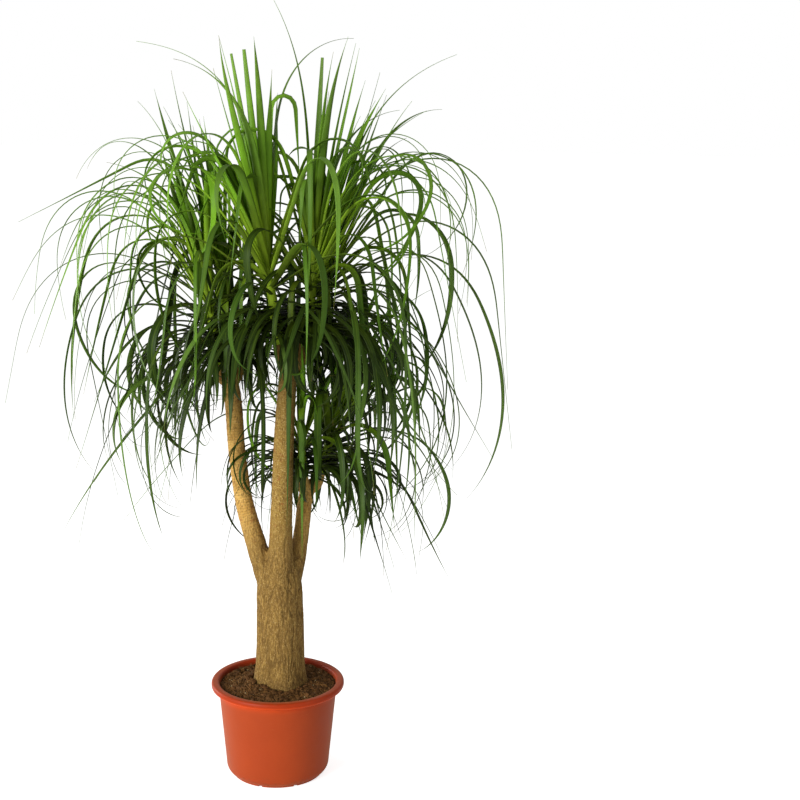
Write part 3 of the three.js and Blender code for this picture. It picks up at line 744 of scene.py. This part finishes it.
def makeSoil():
    # up the trunk's own hole, out over the top, and down inside the pot
    sides = soil["sides"]
    line, _ = throughPoints(trunk["rings"], 4)
    rings = [levelRing(fluted(r, sides, z) + soil["offTrunk"], sides, z, x)
             for z, x, r in line if z < soil["level"] - soil["ringsBelowTop"]]
    z, x, r = trunk["rings"][4]
    start = fluted(r - 0.002, sides, z) + soil["offTrunk"]
    edge = potWallAt(soil["level"]) + soil["brim"]
    for k in range(soil["topRings"] + 1):
        share = k / soil["topRings"]
        ring = []
        for out, a in zip(start, around(sides)):
            px = between(x + out * math.cos(a), edge * math.cos(a), share)
            py = between(out * math.sin(a), edge * math.sin(a), share)
            ring.append((px, py, soilTop(px, py)))
        rings.append(ring)
    for z in (pot["height"] - pot["lipHeight"], pot["corner"] + pot["wall"]):
        rings.append(levelRing(potWallAt(z), sides, z))
    rings.append(levelRing(pot["foot"] - soil["offFoot"], sides, pot["floor"] + soil["offFloor"]))
    verts, faces = loft(rings)
    body = newObject("pottingSoil", meshFrom("pottingSoil", verts, faces))
    faceOutwards(body.data)
    smoothShade(body.data)
    body.data.materials.append(darkSoil("darkSoil", (46, 30, 13), (104, 72, 34)))
    return body


def darkSoil(name, dark, light):
    finish, t, shader = newFinish(name)
    place = t.place()
    clouds, _ = t.mottled(place, 70.0, 650.0, 0.5)
    tone = t.mix(clouds, paint(*dark), paint(*light))
    bits = t.add("ShaderNodeTexVoronoi", Vector=place, Scale=420.0).outputs["Distance"]
    tone = t.over(tone, [min(255, c * 1.9) for c in light], t.ease(bits, 0.22, 0.05), 0.35)
    t.into(shader, {"Base Color": tone, "Roughness": 0.95, "Specular IOR Level": 0.2,
                    "Normal": t.bump(clouds, 0.8, 0.0015)})
    return finish


def crumbTree():
    # small lumps strewn over the upper faces of what it is given
    t, given, out = newGroup(
        "crumbsOnSoil", "GeometryNodeTree",
        {"Soil": "Geometry", "Per square metre": 1000.0, "Smallest": 0.001, "Largest": 0.003, "Flatness": 0.7,
         "Length": 1.0, "Outer radius": 0.12, "Seed": 1, "Finish": "Material"}, {"Crumbs": "Geometry"})
    at = t.parts(t.out("GeometryNodeInputPosition"))
    facing = t.parts(t.out("GeometryNodeInputNormal"))[2]
    radius = t.vector("LENGTH", t.out("ShaderNodeCombineXYZ", X=at[0], Y=at[1]))
    above = t.times(t.maths("GREATER_THAN", facing, soil["bitsFacing"]),
                    t.maths("GREATER_THAN", at[2], soil["bitsAbove"]))
    above = t.times(above, t.maths("LESS_THAN", radius, given["Outer radius"]))
    points = t.out("GeometryNodeDistributePointsOnFaces", {"distribute_method": "RANDOM"}, Mesh=given["Soil"],
                   Selection=above, Density=given["Per square metre"], Seed=given["Seed"])
    ball = t.out("GeometryNodeMeshIcoSphere", Radius=1.0, Subdivisions=2)
    dent = t.out("ShaderNodeTexNoise", Vector=t.out("GeometryNodeInputPosition"), Scale=1.4, Detail=1.0)
    push = t.vector("SCALE", t.out("GeometryNodeInputNormal"), None, t.times(t.minus(dent, 0.5), 1.8))
    lump = t.out("GeometryNodeSetPosition", Geometry=ball, Offset=push)
    size = t.draw("FLOAT", given["Smallest"], given["Largest"], given["Seed"])
    shape = t.out("ShaderNodeCombineXYZ", X=given["Length"], Y=1.0, Z=given["Flatness"])
    turn = t.draw("FLOAT_VECTOR", (-0.6, -0.6, 0), (0.6, 0.6, 2 * math.pi), given["Seed"])
    placed = t.out("GeometryNodeInstanceOnPoints", Points=points, Instance=lump, Rotation=turn,
                   Scale=t.vector("SCALE", shape, None, size))
    t.dress(placed, given["Finish"], out["Crumbs"])
    return t.tree


pottingSoil = makeSoil()
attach(pottingSoil, "root")
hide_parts("soil")
tellOf(pottingSoil)

crumbsOnSoil = crumbTree()
for bitsName, bitsInputs in looseBits.items():
    bits = newObject(bitsName, pottingSoil.data.copy())
    runTree(bits, crumbsOnSoil, {**bitsInputs, "Outer radius": potWallAt(soil["level"]) - soil["bitsOffWall"],
                                 "Finish": darkSoil(*looseTones[bitsName])})
    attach(bits, "root")
    tellOf(bits)


# Leaves: one rule gives each leaf of each head its place, size and curve

leafRules = {
    "ageStep": 0.7548776662466927, "turnStep": 0.5698402909980532, "steps": 48,
    "skirtFrom": 0.6,  # past its first leaves a head has old ones only
    "aside": 16,  # degrees
    "finest": 0.0019,  # metres across near the tip
}
bladeInputs = {"Section points": 8, "Channel": 0.42, "Root thickness": 0.0016, "Tip thickness": 0.0007}
clearance = {"wood": 0.009, "freeFrom": 0.12, "pastBox": 0.002, "lowestTip": 0.43}
# upper leaves that hang before the limbs end above this height, at uneven heights, and the nearer they hang the
# higher; the share let be hangs as it likes
openStem = {"left": -0.13, "right": 0.10, "below": 0.775, "uneven": 0.09, "forward": 0.22, "let": 0.04}
# the low heads' leaves stay out of the space before the middle limb, and end above this height before their own
openLow = {"right": 0.035, "front": -0.03, "ownRight": 0.10, "ownFront": 0.03, "below": 0.60}
crownReach = 0.44  # to the left only the leaves that stand out singly reach further than this
turnsToTry = [0, 6, -6, 12, -12, 20, -20, 29, -29, 40, -40, 52, -52]
shortenings = {"tries": 20, "by": 0.95}


def chances(seed, leaf):
    # numbers from 0 to 1 that depend only on the seed and the leaf
    angles = [seed * 127.1 + leaf * 311.7 + channel * 74.7 for channel in range(13)]
    return [fraction(math.sin(angle) * 43758.5453) for angle in angles]


def leafRule(head, i):
    c = chances(head["seed"], i)
    age = fraction(0.37 + i * leafRules["ageStep"])  # 0 at the upright heart, 1 at the oldest, lowest leaf
    if i >= head["leaves"]:
        age = between(leafRules["skirtFrom"], 1, age)
    heart, ripe, old = 1 - eased(0.10, 0.18, age), eased(0.3, 0.5, age), eased(0.55, 0.85, age)
    grown = 0.440 + 0.280 * eased(0.12, 0.22, age) - 0.310 * eased(0.28, 0.9, age)
    share = between(0.58 + 0.62 * c[8] ** 2, 0.72 + 0.36 * c[8], heart)  # most stay short, a few grow long
    slim = 0.35 * eased(0.8, 1.1, share) * (1 - heart)  # the long ones are slender
    broad = (0.0170 - 0.0030 * eased(0.25, 0.75, age)) * (1 - slim)
    turn = 360 * fraction(0.11 * head["seed"] + i * leafRules["turnStep"])
    aside = leafRules["aside"] * (eased(0.10, 0.16, age) - eased(0.38, 0.5, age))
    bend = (0.20 + 0.03 * ripe - 0.05 * old + 0.20 * c[4] ** 2) * (0.4 + 0.6 * share)
    level = eased(0.25, 0.5, age) * (1 - eased(0.6, 1, age))  # the ripe leaves leave the stem nearly level
    return {
        "age": age,
        # the young arching leaves lean to the two sides
        "turn": turn - aside * math.sin(math.radians(2 * turn)),
        "rise": 3 + 87 * age + 22 * level * head["vigour"] ** 2 + 14 * (c[1] - 0.5),  # degrees off the stem
        "end": between(176 - (18 + 26 * ripe) * c[2], 14 + 90 * c[2] ** 2, heart),  # degrees, once bent
        # metres before it bends, and metres in which it bends
        "stiff": 0.015 + 0.04 * c[3] * ripe + (0.07 + 0.17 * c[3]) * (1 - eased(0.2, 0.55, age)),
        "arch": between(bend, 0.46, heart) * math.sqrt(head["vigour"]),
        "curl": (170 * c[5] - 20) * (1 - heart),  # the further turn towards the tip
        "drift": (c[6] - 0.5) * (70 + 30 * ripe),
        "twist": (c[7] - 0.5) * 150 * (1 - 0.6 * heart),
        "length": head["vigour"] * grown * share * (1 + 0.16 * abs(math.cos(math.radians(turn))) * (1 - heart)),
        "width": broad * between(0.45 + 0.72 * c[9], 0.8 + 0.4 * c[9], heart) * math.sqrt(head["vigour"]),
        "narrows": (between(0.55, 0.38, heart), 1.0),  # the shares of the length over which it narrows
        "lowest": (openStem["below"] + openStem["uneven"] * c[12]) * (c[11] > openStem["let"]),
        "facing": 0,
        # a leaf's tone differs at random, and is lowered on the shaded heads as painted shade
        "tone": c[10] * head["tone"],
    }


# Leaves that stand out singly: where each heads, how far it leans there, how it bends, and its size.
# Some were cut square by the grower, and some have folded over. A row may end early, where the rest is plain.
singleColumns = ("heading", "lean", "stiff", "arch", "end", "length", "width", "facing", "age", "tone", "curl",
                 "cut")
singleLeaves = {
    "front_left": [
        (180, 6, 0.1, 0.3, 5, 0.425, 0.017, 80, 0.12, 0.45, 0, 1),
        (184, 9, 0.1, 0.3, 10, 0.420, 0.013, 70, 0.12, 0.45, 0, 1),
        (350, 2, 0.31, 0.085, 176, 0.54, 0.017, 40),
        (190, 22, 0.20, 0.11, 160, 0.42, 0.019, 50, 0.12, 0.2),
        (200, 17, 0.1, 0.3, 30, 0.21, 0.019, 60, 0.12, 0.45, 0, 1),
        (205, 48, 0.03, 0.14, 164, 0.60, 0.018, 30, 0.3, 0.9),
        (215, 60, 0.02, 0.07, 176, 0.28, 0.017, 10, 0.3, 0.8),
        (172, 8, 0.20, 0.40, 85, 0.56, 0.009),
        (186, 15, 0.12, 0.33, 165, 0.68, 0.009),
        (240, 14, 0.17, 0.10, 165, 0.44, 0.018, 30, 0.2, 0.15),
    ],
    "front_right": [
        (150, 4, 0.25, 0.60, 60, 0.56, 0.010),
        (0, 1, 0.1, 0.3, 3, 0.425, 0.015, 75, 0.12, 0.1, 0, 1),
        (250, 9, 0.19, 0.07, 172, 0.36, 0.018, 10, 0.25, 0.9),
        (20, 16, 0.1, 0.3, 32, 0.40, 0.017, 70),
        (330, 45, 0.04, 0.11, 172, 0.36, 0.017, 20, 0.3, 0.7),
        (315, 30, 0.01, 0.06, 176, 0.33, 0.019, -20, 0.35, 0.6),
        (238, 50, 0.03, 0.09, 178, 0.56, 0.013, 0, 0.4, 0.3),
        (215, 12, 0.17, 0.08, 176, 0.37, 0.018, 30, 0.2, 0.15),
        (330, 10, 0.22, 0.12, 160, 0.42, 0.019, 20, 0.15, 0.2),
    ],
    "back_right": [
        (15, 13, 0.15, 0.50, 75, 0.56, 0.009),
        (352, 20, 0.14, 0.28, 168, 0.74, 0.009),
        (2, 26, 0.15, 0.50, 176, 0.92, 0.012, 0, 0.3),
        (340, 44, 0.10, 0.44, 172, 0.80, 0.012, 0, 0.35, 0.2),
        (350, 40, 0.06, 0.20, 174, 0.52, 0.016, 20, 0.3, 0.7),
    ],
    "low_inner": [
        (250, 24, 0.085, 0.10, 180, 0.44, 0.013, 30, 0.3, 0.4, -14),
        (330, 50, 0.02, 0.12, 165, 0.30, 0.013, 20, 0.3, 0.6),
    ],
    "low_outer": [(320, 55, 0.02, 0.20, 172, 0.34, 0.015, 20, 0.3, 0.6)],
    "left_outer": [
        (182, 12, 0.24, 0.16, 117, 0.63, 0.013, 30, 0.2, 0.2),
        (186, 42, 0.05, 0.52, 168, 0.66, 0.007, 0, 0.4),
        (176, 50, 0.06, 0.36, 190, 0.70, 0.008, 0, 0.45),
        (185, 14, 0.1, 0.3, 22, 0.30, 0.021, 80),
        (190, 14, 0.09, 0.20, 162, 0.70, 0.017, 20, 0.25, 0.95),
    ],
    "left_inner": [
        (190, 5, 0.1, 0.3, 8, 0.37, 0.017, 80),
        (270, 40, 0.02, 0.06, 178, 0.27, 0.016, 0, 0.3, 0.6),
    ],
}


def singleLeaf(row):
    plain = {"age": 0.12, "curl": 0, "drift": 0, "twist": 0, "tone": 0.45, "turn": 0, "facing": 0, "lowest": 0,
             "narrows": (0.3, 1.35) if "cut" in row else (0.45, 0.98)}
    return {**plain, **row}


# Slender leaves that arch high over the crown's two sides: the middle of the headings they take from each head
wispHeadings = {"left_outer": 178, "left_inner": 165, "front_left": 196, "front_right": 342, "back_right": 12}
wisps = {"each": 8, "seedStep": 20}


def wispLeaf(head, i):
    c = chances(head["seed"] + wisps["seedStep"], i)
    return singleLeaf({
        "age": 0.16 + 0.10 * c[1], "heading": wispHeadings[head["name"]] + 100 * (c[2] - 0.5),
        "lean": 14 + 26 * c[3], "stiff": 0.09 + 0.11 * c[4], "arch": 0.32 + 0.20 * c[5],
        "end": 148 + 28 * c[6], "curl": 50 * c[7], "drift": 70 * (c[8] - 0.5),
        "length": 0.50 + 0.22 * c[9], "width": 0.0055 + 0.0035 * c[10], "narrows": (0.55, 1.0),
        "tone": 0.4 + 0.55 * c[11],
    })


def leafStart(head, leaf):
    # the direction in which the leaf leaves its stem
    if "heading" in leaf:
        lean, heading = math.radians(leaf["lean"]), math.radians(leaf["heading"] + leaf["turn"])
        out = math.sin(lean)
        return np.array([out * math.cos(heading), out * math.sin(heading), math.cos(lean)])
    turn, rise = math.radians(leaf["turn"]), math.radians(leaf["rise"])
    up = unit(np.array(head["tip"]) - np.array(head["foot"]))
    return unit(up * math.cos(rise) + np.array([math.cos(turn), math.sin(turn), 0]) * math.sin(rise))


def leafFrames(head, leaf):
    # middle, side and face of the leaf at each small step
    foot, tip = np.array(head["foot"]), np.array(head["tip"])
    start = leafStart(head, leaf)
    heading = math.atan2(start[1], start[0])
    first = math.acos(start[2])
    last = max(first, math.radians(leaf["end"]))
    s = np.linspace(0, 1, leafRules["steps"] + 1)
    bent = smooth(leaf["stiff"], leaf["stiff"] + leaf["arch"], s * leaf["length"])
    lean = between(first, last, bent) + math.radians(leaf["curl"]) * np.clip((s - 0.3) / 0.7, 0, 1) ** 2
    way = heading + math.radians(leaf["drift"]) * s ** 1.5
    along = np.stack([np.sin(lean) * np.cos(way), np.sin(lean) * np.sin(way), np.cos(lean)], axis=1)
    steps = along * leaf["length"] / leafRules["steps"]
    steps[0] = between(tip, foot, 0.96 * leaf["age"] ** 1.2 + 0.02)
    side = np.stack([-np.sin(way), np.cos(way), 0 * way], axis=1)
    face = np.cross(along, side)
    twist = (math.radians(leaf["twist"]) * s ** 1.3 + math.radians(leaf["facing"]))[:, None]
    return {
        "s": s,
        "at": np.cumsum(steps, axis=0),
        "side": side * np.cos(twist) + face * np.sin(twist),
        "face": face * np.cos(twist) - side * np.sin(twist),
    }


def leafHalfWidths(leaf, s):
    broad = leaf["width"] * np.minimum(1, 0.5 + 6 * s) * (1 - smooth(*leaf["narrows"], s)) ** 0.7
    clasp = leaf["width"] * 0.45 * np.exp(-s / 0.018)  # the root widens to clasp the stem
    wisp = leafRules["finest"] * (1 - smooth(0.88, 1, s)) + 0.0004
    return np.maximum(broad + clasp, wisp) / 2


stemPoints = np.concatenate([np.linspace(head["foot"], head["tip"], 12) for head in heads])
woodSamples = np.concatenate([limbLine(limb)[0] for limb in limbs.values()])
woodRadii = np.concatenate([limbLine(limb)[1] for limb in limbs.values()])


def distances(at, others):
    return np.linalg.norm(at[:, None, :] - others[None], axis=2)


def crossesWood(at):
    free = at[round(clearance["freeFrom"] * leafRules["steps"]):]
    return bool((distances(free, woodSamples) < woodRadii[None] + clearance["wood"]).any())


def insideOutline(at):
    past = clearance["pastBox"]
    inBox = (at > lowCorner - past).all() and (at < highCorner + past).all()
    return bool(inBox and at[:, 2].min() > clearance["lowestTip"])


def hidesLimbs(head, leaf, at):
    if not leaf["lowest"]:
        return False
    x, y, z = at.T
    if head["limb"] == "right":
        middle = (x < openLow["right"]) & (y < openLow["front"])
        own = (x < openLow["ownRight"]) & (y < openLow["ownFront"]) & (z < openLow["below"])
        return bool((middle | own).any())
    before = (x > openStem["left"]) & (x < openStem["right"])
    lowest = leaf["lowest"] - openStem["forward"] * y  # along the line of sight
    return bool((before & (z < lowest)).any())


def growLeaf(head, leaf):
    # turned clear of the limbs, and shortened where it would leave the plant's own outline
    turn = leaf["turn"]
    for extra in turnsToTry:
        leaf["turn"] = turn + extra
        frames = leafFrames(head, leaf)
        if not crossesWood(frames["at"]):
            break
    else:
        return None
    for _ in range(shortenings["tries"]):
        tooWide = "heading" not in leaf and not (-crownReach < frames["at"][:, 0]).all()
        if insideOutline(frames["at"]) and not tooWide and not hidesLimbs(head, leaf, frames["at"]):
            return frames
        for part in ("length", "stiff", "arch") if tooWide else ("length",):
            leaf[part] *= shortenings["by"]
        frames = leafFrames(head, leaf)
    return None


def railMesh(name, grown):
    # the middle line of every leaf, carrying what the blade's section needs at each point
    rows = []
    for leaf, frames in grown:
        s, at = frames["s"], frames["at"]
        rows.append({"at": at, "side": frames["side"], "face": frames["face"], "half": leafHalfWidths(leaf, s),
                     "leafAlong": s, "leafOut": distances(at, stemPoints).min(axis=1),
                     "leafAge": np.full(len(s), leaf["age"]), "leafToneAndShade": np.full(len(s), leaf["tone"])})
    columns = {key: np.concatenate([row[key] for row in rows]) for key in rows[0]}
    at = columns.pop("at")
    edges = [(k, k + 1) for k in range(len(at) - 1) if (k + 1) % (leafRules["steps"] + 1)]
    mesh = meshFrom(name, at, (), edges)
    store(mesh, columns)
    return mesh


def bladeTree():
    # sweeps a keeled, channelled section along every rail
    t, given, out = newGroup(
        "bladesAlongRails", "GeometryNodeTree",
        {"Rails": "Geometry", "Section points": 8, "Channel": 0.4, "Root thickness": 0.0015,
         "Tip thickness": 0.0007, "Finish": "Material"}, {"Leaves": "Geometry"})

    def named(name, kind="FLOAT"):
        return t.out("GeometryNodeInputNamedAttribute", {"data_type": kind}, Name=name)

    def captured(geometry, label):
        keeper = t.add("GeometryNodeCaptureAttribute")
        keeper.capture_items.new("VECTOR", label)
        t.into(keeper, {0: geometry, 1: t.out("GeometryNodeInputPosition")})
        return keeper.outputs[0], keeper.outputs[1]

    rails, middle = captured(t.out("GeometryNodeMeshToCurve", Mesh=given["Rails"]), "middle")
    ring = t.out("GeometryNodeCurvePrimitiveCircle", Resolution=given["Section points"], Radius=1.0)
    section, spot = captured(ring, "spot")
    blade = t.out("GeometryNodeCurveToMesh", **{"Curve": rails, "Profile Curve": section, "Fill Caps": True})
    across, upper, _ = t.parts(spot)
    half, along = named("half"), named("leafAlong")
    thick = t.out("ShaderNodeMapRange", **{"Value": along, "To Min": given["Root thickness"],
                                           "To Max": given["Tip thickness"]})
    body = t.times(t.times(upper, 0.5), thick)
    # the channel is deepest in the young upright leaves, and opens towards every tip
    depth = t.times(t.ease(named("leafAge"), 0.1, 0.35, 1.8, 1.0), t.ease(along, 0.1, 1.0, 1.0, 0.3))
    cupped = t.times(t.times(t.maths("ABSOLUTE", across), half), t.times(given["Channel"], depth))
    spread = t.vector("SCALE", named("side", "FLOAT_VECTOR"), None, t.times(across, half))
    lifted = t.vector("SCALE", named("face", "FLOAT_VECTOR"), None, t.plus(body, cupped))
    final = t.vector("ADD", t.vector("ADD", middle, spread), lifted)
    blade = t.out("GeometryNodeSetPosition", Geometry=blade, Position=final)
    for name, value in (("leafAcross", across), ("leafUpper", upper)):
        blade = t.out("GeometryNodeStoreNamedAttribute", {"data_type": "FLOAT", "domain": "POINT"},
                      Geometry=blade, Name=name, Value=value)
    t.dress(blade, given["Finish"], out["Leaves"])
    return t.tree


def strapLeaf():
    finish, t, shader = newFinish("strapLeaf")
    along, across, age, tone, out = (
        t.attribute(name) for name in ("leafAlong", "leafAcross", "leafAge", "leafToneAndShade", "leafOut"))
    grown = t.ease(age, 0.08, 0.5)
    colour = t.mix(grown, paint(116, 172, 24), paint(52, 88, 18))
    colour = t.over(colour, (22, 38, 8), t.ease(age, 0.4, 0.8))
    # darker and paler leaves by tone, which differs at random and is lowered on the right and low heads as
    # painted shade
    colour = t.over(colour, (24, 44, 8), t.ease(tone, 0.42, 0.1), 0.6)
    colour = t.over(colour, (104, 142, 54), t.ease(tone, 0.6, 1.0), 0.55)
    # the outer lengths are lit all round, and little light arrives deep among the stems
    colour = t.over(colour, (114, 146, 70), t.ease(out, 0.16, 0.42), 0.5)
    deep = t.times(t.ease(out, 0.25, 0.06), t.ease(age, 0.16, 0.4))
    colour = t.over(colour, (9, 18, 3), deep, 0.88)
    # young leaves are pale at the root
    youth = t.minus(1.0, t.times(grown, 0.8))
    colour = t.over(colour, (168, 200, 40), t.times(t.ease(along, 0.5, 0.02), youth), 0.85)
    # veins run the whole length, and the midrib shows as a paler line
    veinPlace = t.out("ShaderNodeCombineXYZ", X=t.times(across, 7.0), Y=t.times(along, 2.5),
                      Z=t.times(tone, 60.0))
    veins, raw = t.streaked(veinPlace, (1.0, 1.0, 1.0), 0.3, 0.7)
    colour = t.over(colour, (116, 146, 34), veins, 0.18)
    colour = t.over(colour, (130, 158, 44), t.ease(t.maths("ABSOLUTE", across), 0.2, 0.02), 0.16)
    colour = t.over(colour, (100, 128, 52), t.ease(t.attribute("leafUpper"), 0.1, -0.5), 0.12)
    clouds, _ = t.mottled(t.place(), 22.0, 300.0, 0.3)
    colour = t.over(colour, (34, 50, 12), clouds, 0.3)
    # the roots of the old leaves are darker, partly for their own dull colour and partly as painted shade among
    # the stems, and some tips have dried
    colour = t.over(colour, (18, 28, 8), t.times(t.ease(along, 0.3, 0.06), t.ease(age, 0.3, 0.6)))
    dry = t.times(t.ease(along, 0.93, 1.0), t.ease(tone, 0.45, 0.6))
    colour = t.over(colour, (128, 104, 58), dry, 0.7)
    t.into(shader, {"Base Color": colour, "Roughness": t.plus(0.36, t.times(raw, 0.22)),
                    "Specular IOR Level": 0.14, "Normal": t.bump(raw, 0.25, 0.0006)})
    return finish


def coreMesh(head):
    # the growing end of the stem, hidden under the leaf roots
    foot, tip = np.array(head["foot"]), np.array(head["tip"])
    along = unit(tip - foot)
    rings = []
    for k in range(10):
        share = k / 9
        radius = between(stemEnd["foot"], stemEnd["tip"], share) * (1 + 0.05 * math.sin(k * 2.6))
        rings.append(ringAbout(between(foot, tip, share), along, radius, 20))
    return loft(rings)


def makeHead(head):
    name = head["name"]
    tried = [singleLeaf(dict(zip(singleColumns, row))) for row in singleLeaves[name]]
    if name in wispHeadings:
        tried += [wispLeaf(head, i) for i in range(wisps["each"])]
    tried += [leafRule(head, i) for i in range(head["leaves"] + head["skirt"])]
    grown = [(leaf, frames) for leaf in tried if (frames := growLeaf(head, leaf))]
    print(name, len(grown), "leaves of", len(tried))
    tuft = newObject("leaves_" + name, railMesh("leaves_" + name, grown))
    runTree(tuft, bladesAlongRails, {**bladeInputs, "Finish": leafFinish})
    work = bmesh.new()
    work.from_mesh(tuft.data)
    if work.calc_volume(signed=True) < 0:
        bmesh.ops.reverse_faces(work, faces=work.faces)
    verts, faces = coreMesh(head)
    added = [work.verts.new(tuple(v)) for v in verts]
    for face in faces:
        work.faces.new([added[i] for i in face]).smooth = True
    work.to_mesh(tuft.data)
    work.free()
    return tuft


bladesAlongRails = bladeTree()
leafFinish = strapLeaf()
for eachHead in heads:
    tuft = makeHead(eachHead)
    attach(tuft, "root")
    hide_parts("leaf_head_" + eachHead["name"])
    tellOf(tuft)


# Pale floor and soft studio light

studio = {
    "floorRadius": 40.0, "floorTop": -0.0004, "ambient": 0.38, "floorGlow": 0.74,
    "key": {"place": (-3.1, -3.1, 1.5), "size": 2.0, "watts": 195},
    "fill": {"place": (2.8, -2.4, 1.8), "size": 2.5, "watts": 18},
    "side": {"place": (-2.6, 1.7, 0.7), "size": 1.6, "watts": 42},
    "aim": (0, 0, 0.8),
}


def makeFloor():
    sides = 96
    ring = levelRing(studio["floorRadius"], sides, studio["floorTop"])
    floor = newObject("paleFloor", meshFrom("paleFloor", ring, [tuple(range(sides))]))
    finish, t, shader = newFinish("paleFloor")
    t.into(shader, {"Base Color": (0.8, 0.8, 0.795, 1), "Roughness": 0.7, "Emission Color": (1, 1, 1, 1),
                    "Emission Strength": t.times(t.cameraRay(), studio["floorGlow"])})
    floor.data.materials.append(finish)


def makeLight(name, settings):
    lamp = bpy.data.lights.new(name, "AREA")
    lamp.size = settings["size"]
    lamp.energy = settings["watts"]
    light = newObject(name, lamp)
    light.location = settings["place"]
    toAim = Vector(studio["aim"]) - Vector(settings["place"])
    light.rotation_euler = toAim.to_track_quat("-Z", "Y").to_euler()


def makeSky():
    world = bpy.data.worlds.new("studioWhite")
    world.use_nodes = True
    t = NodeTree(world.node_tree)
    background = next(made for made in world.node_tree.nodes if made.type == "BACKGROUND")
    strength = t.out("ShaderNodeMapRange", **{"Value": t.cameraRay(), "To Min": studio["ambient"],
                                              "To Max": 1.0})
    t.into(background, {"Color": (1, 1, 1, 1), "Strength": strength})
    bpy.context.scene.world = world


makeFloor()
for lampName in ("key", "fill", "side"):
    makeLight(lampName + "Light", studio[lampName])
makeSky()
bpy.context.scene.view_settings.view_transform = "Standard"
print("studio set")
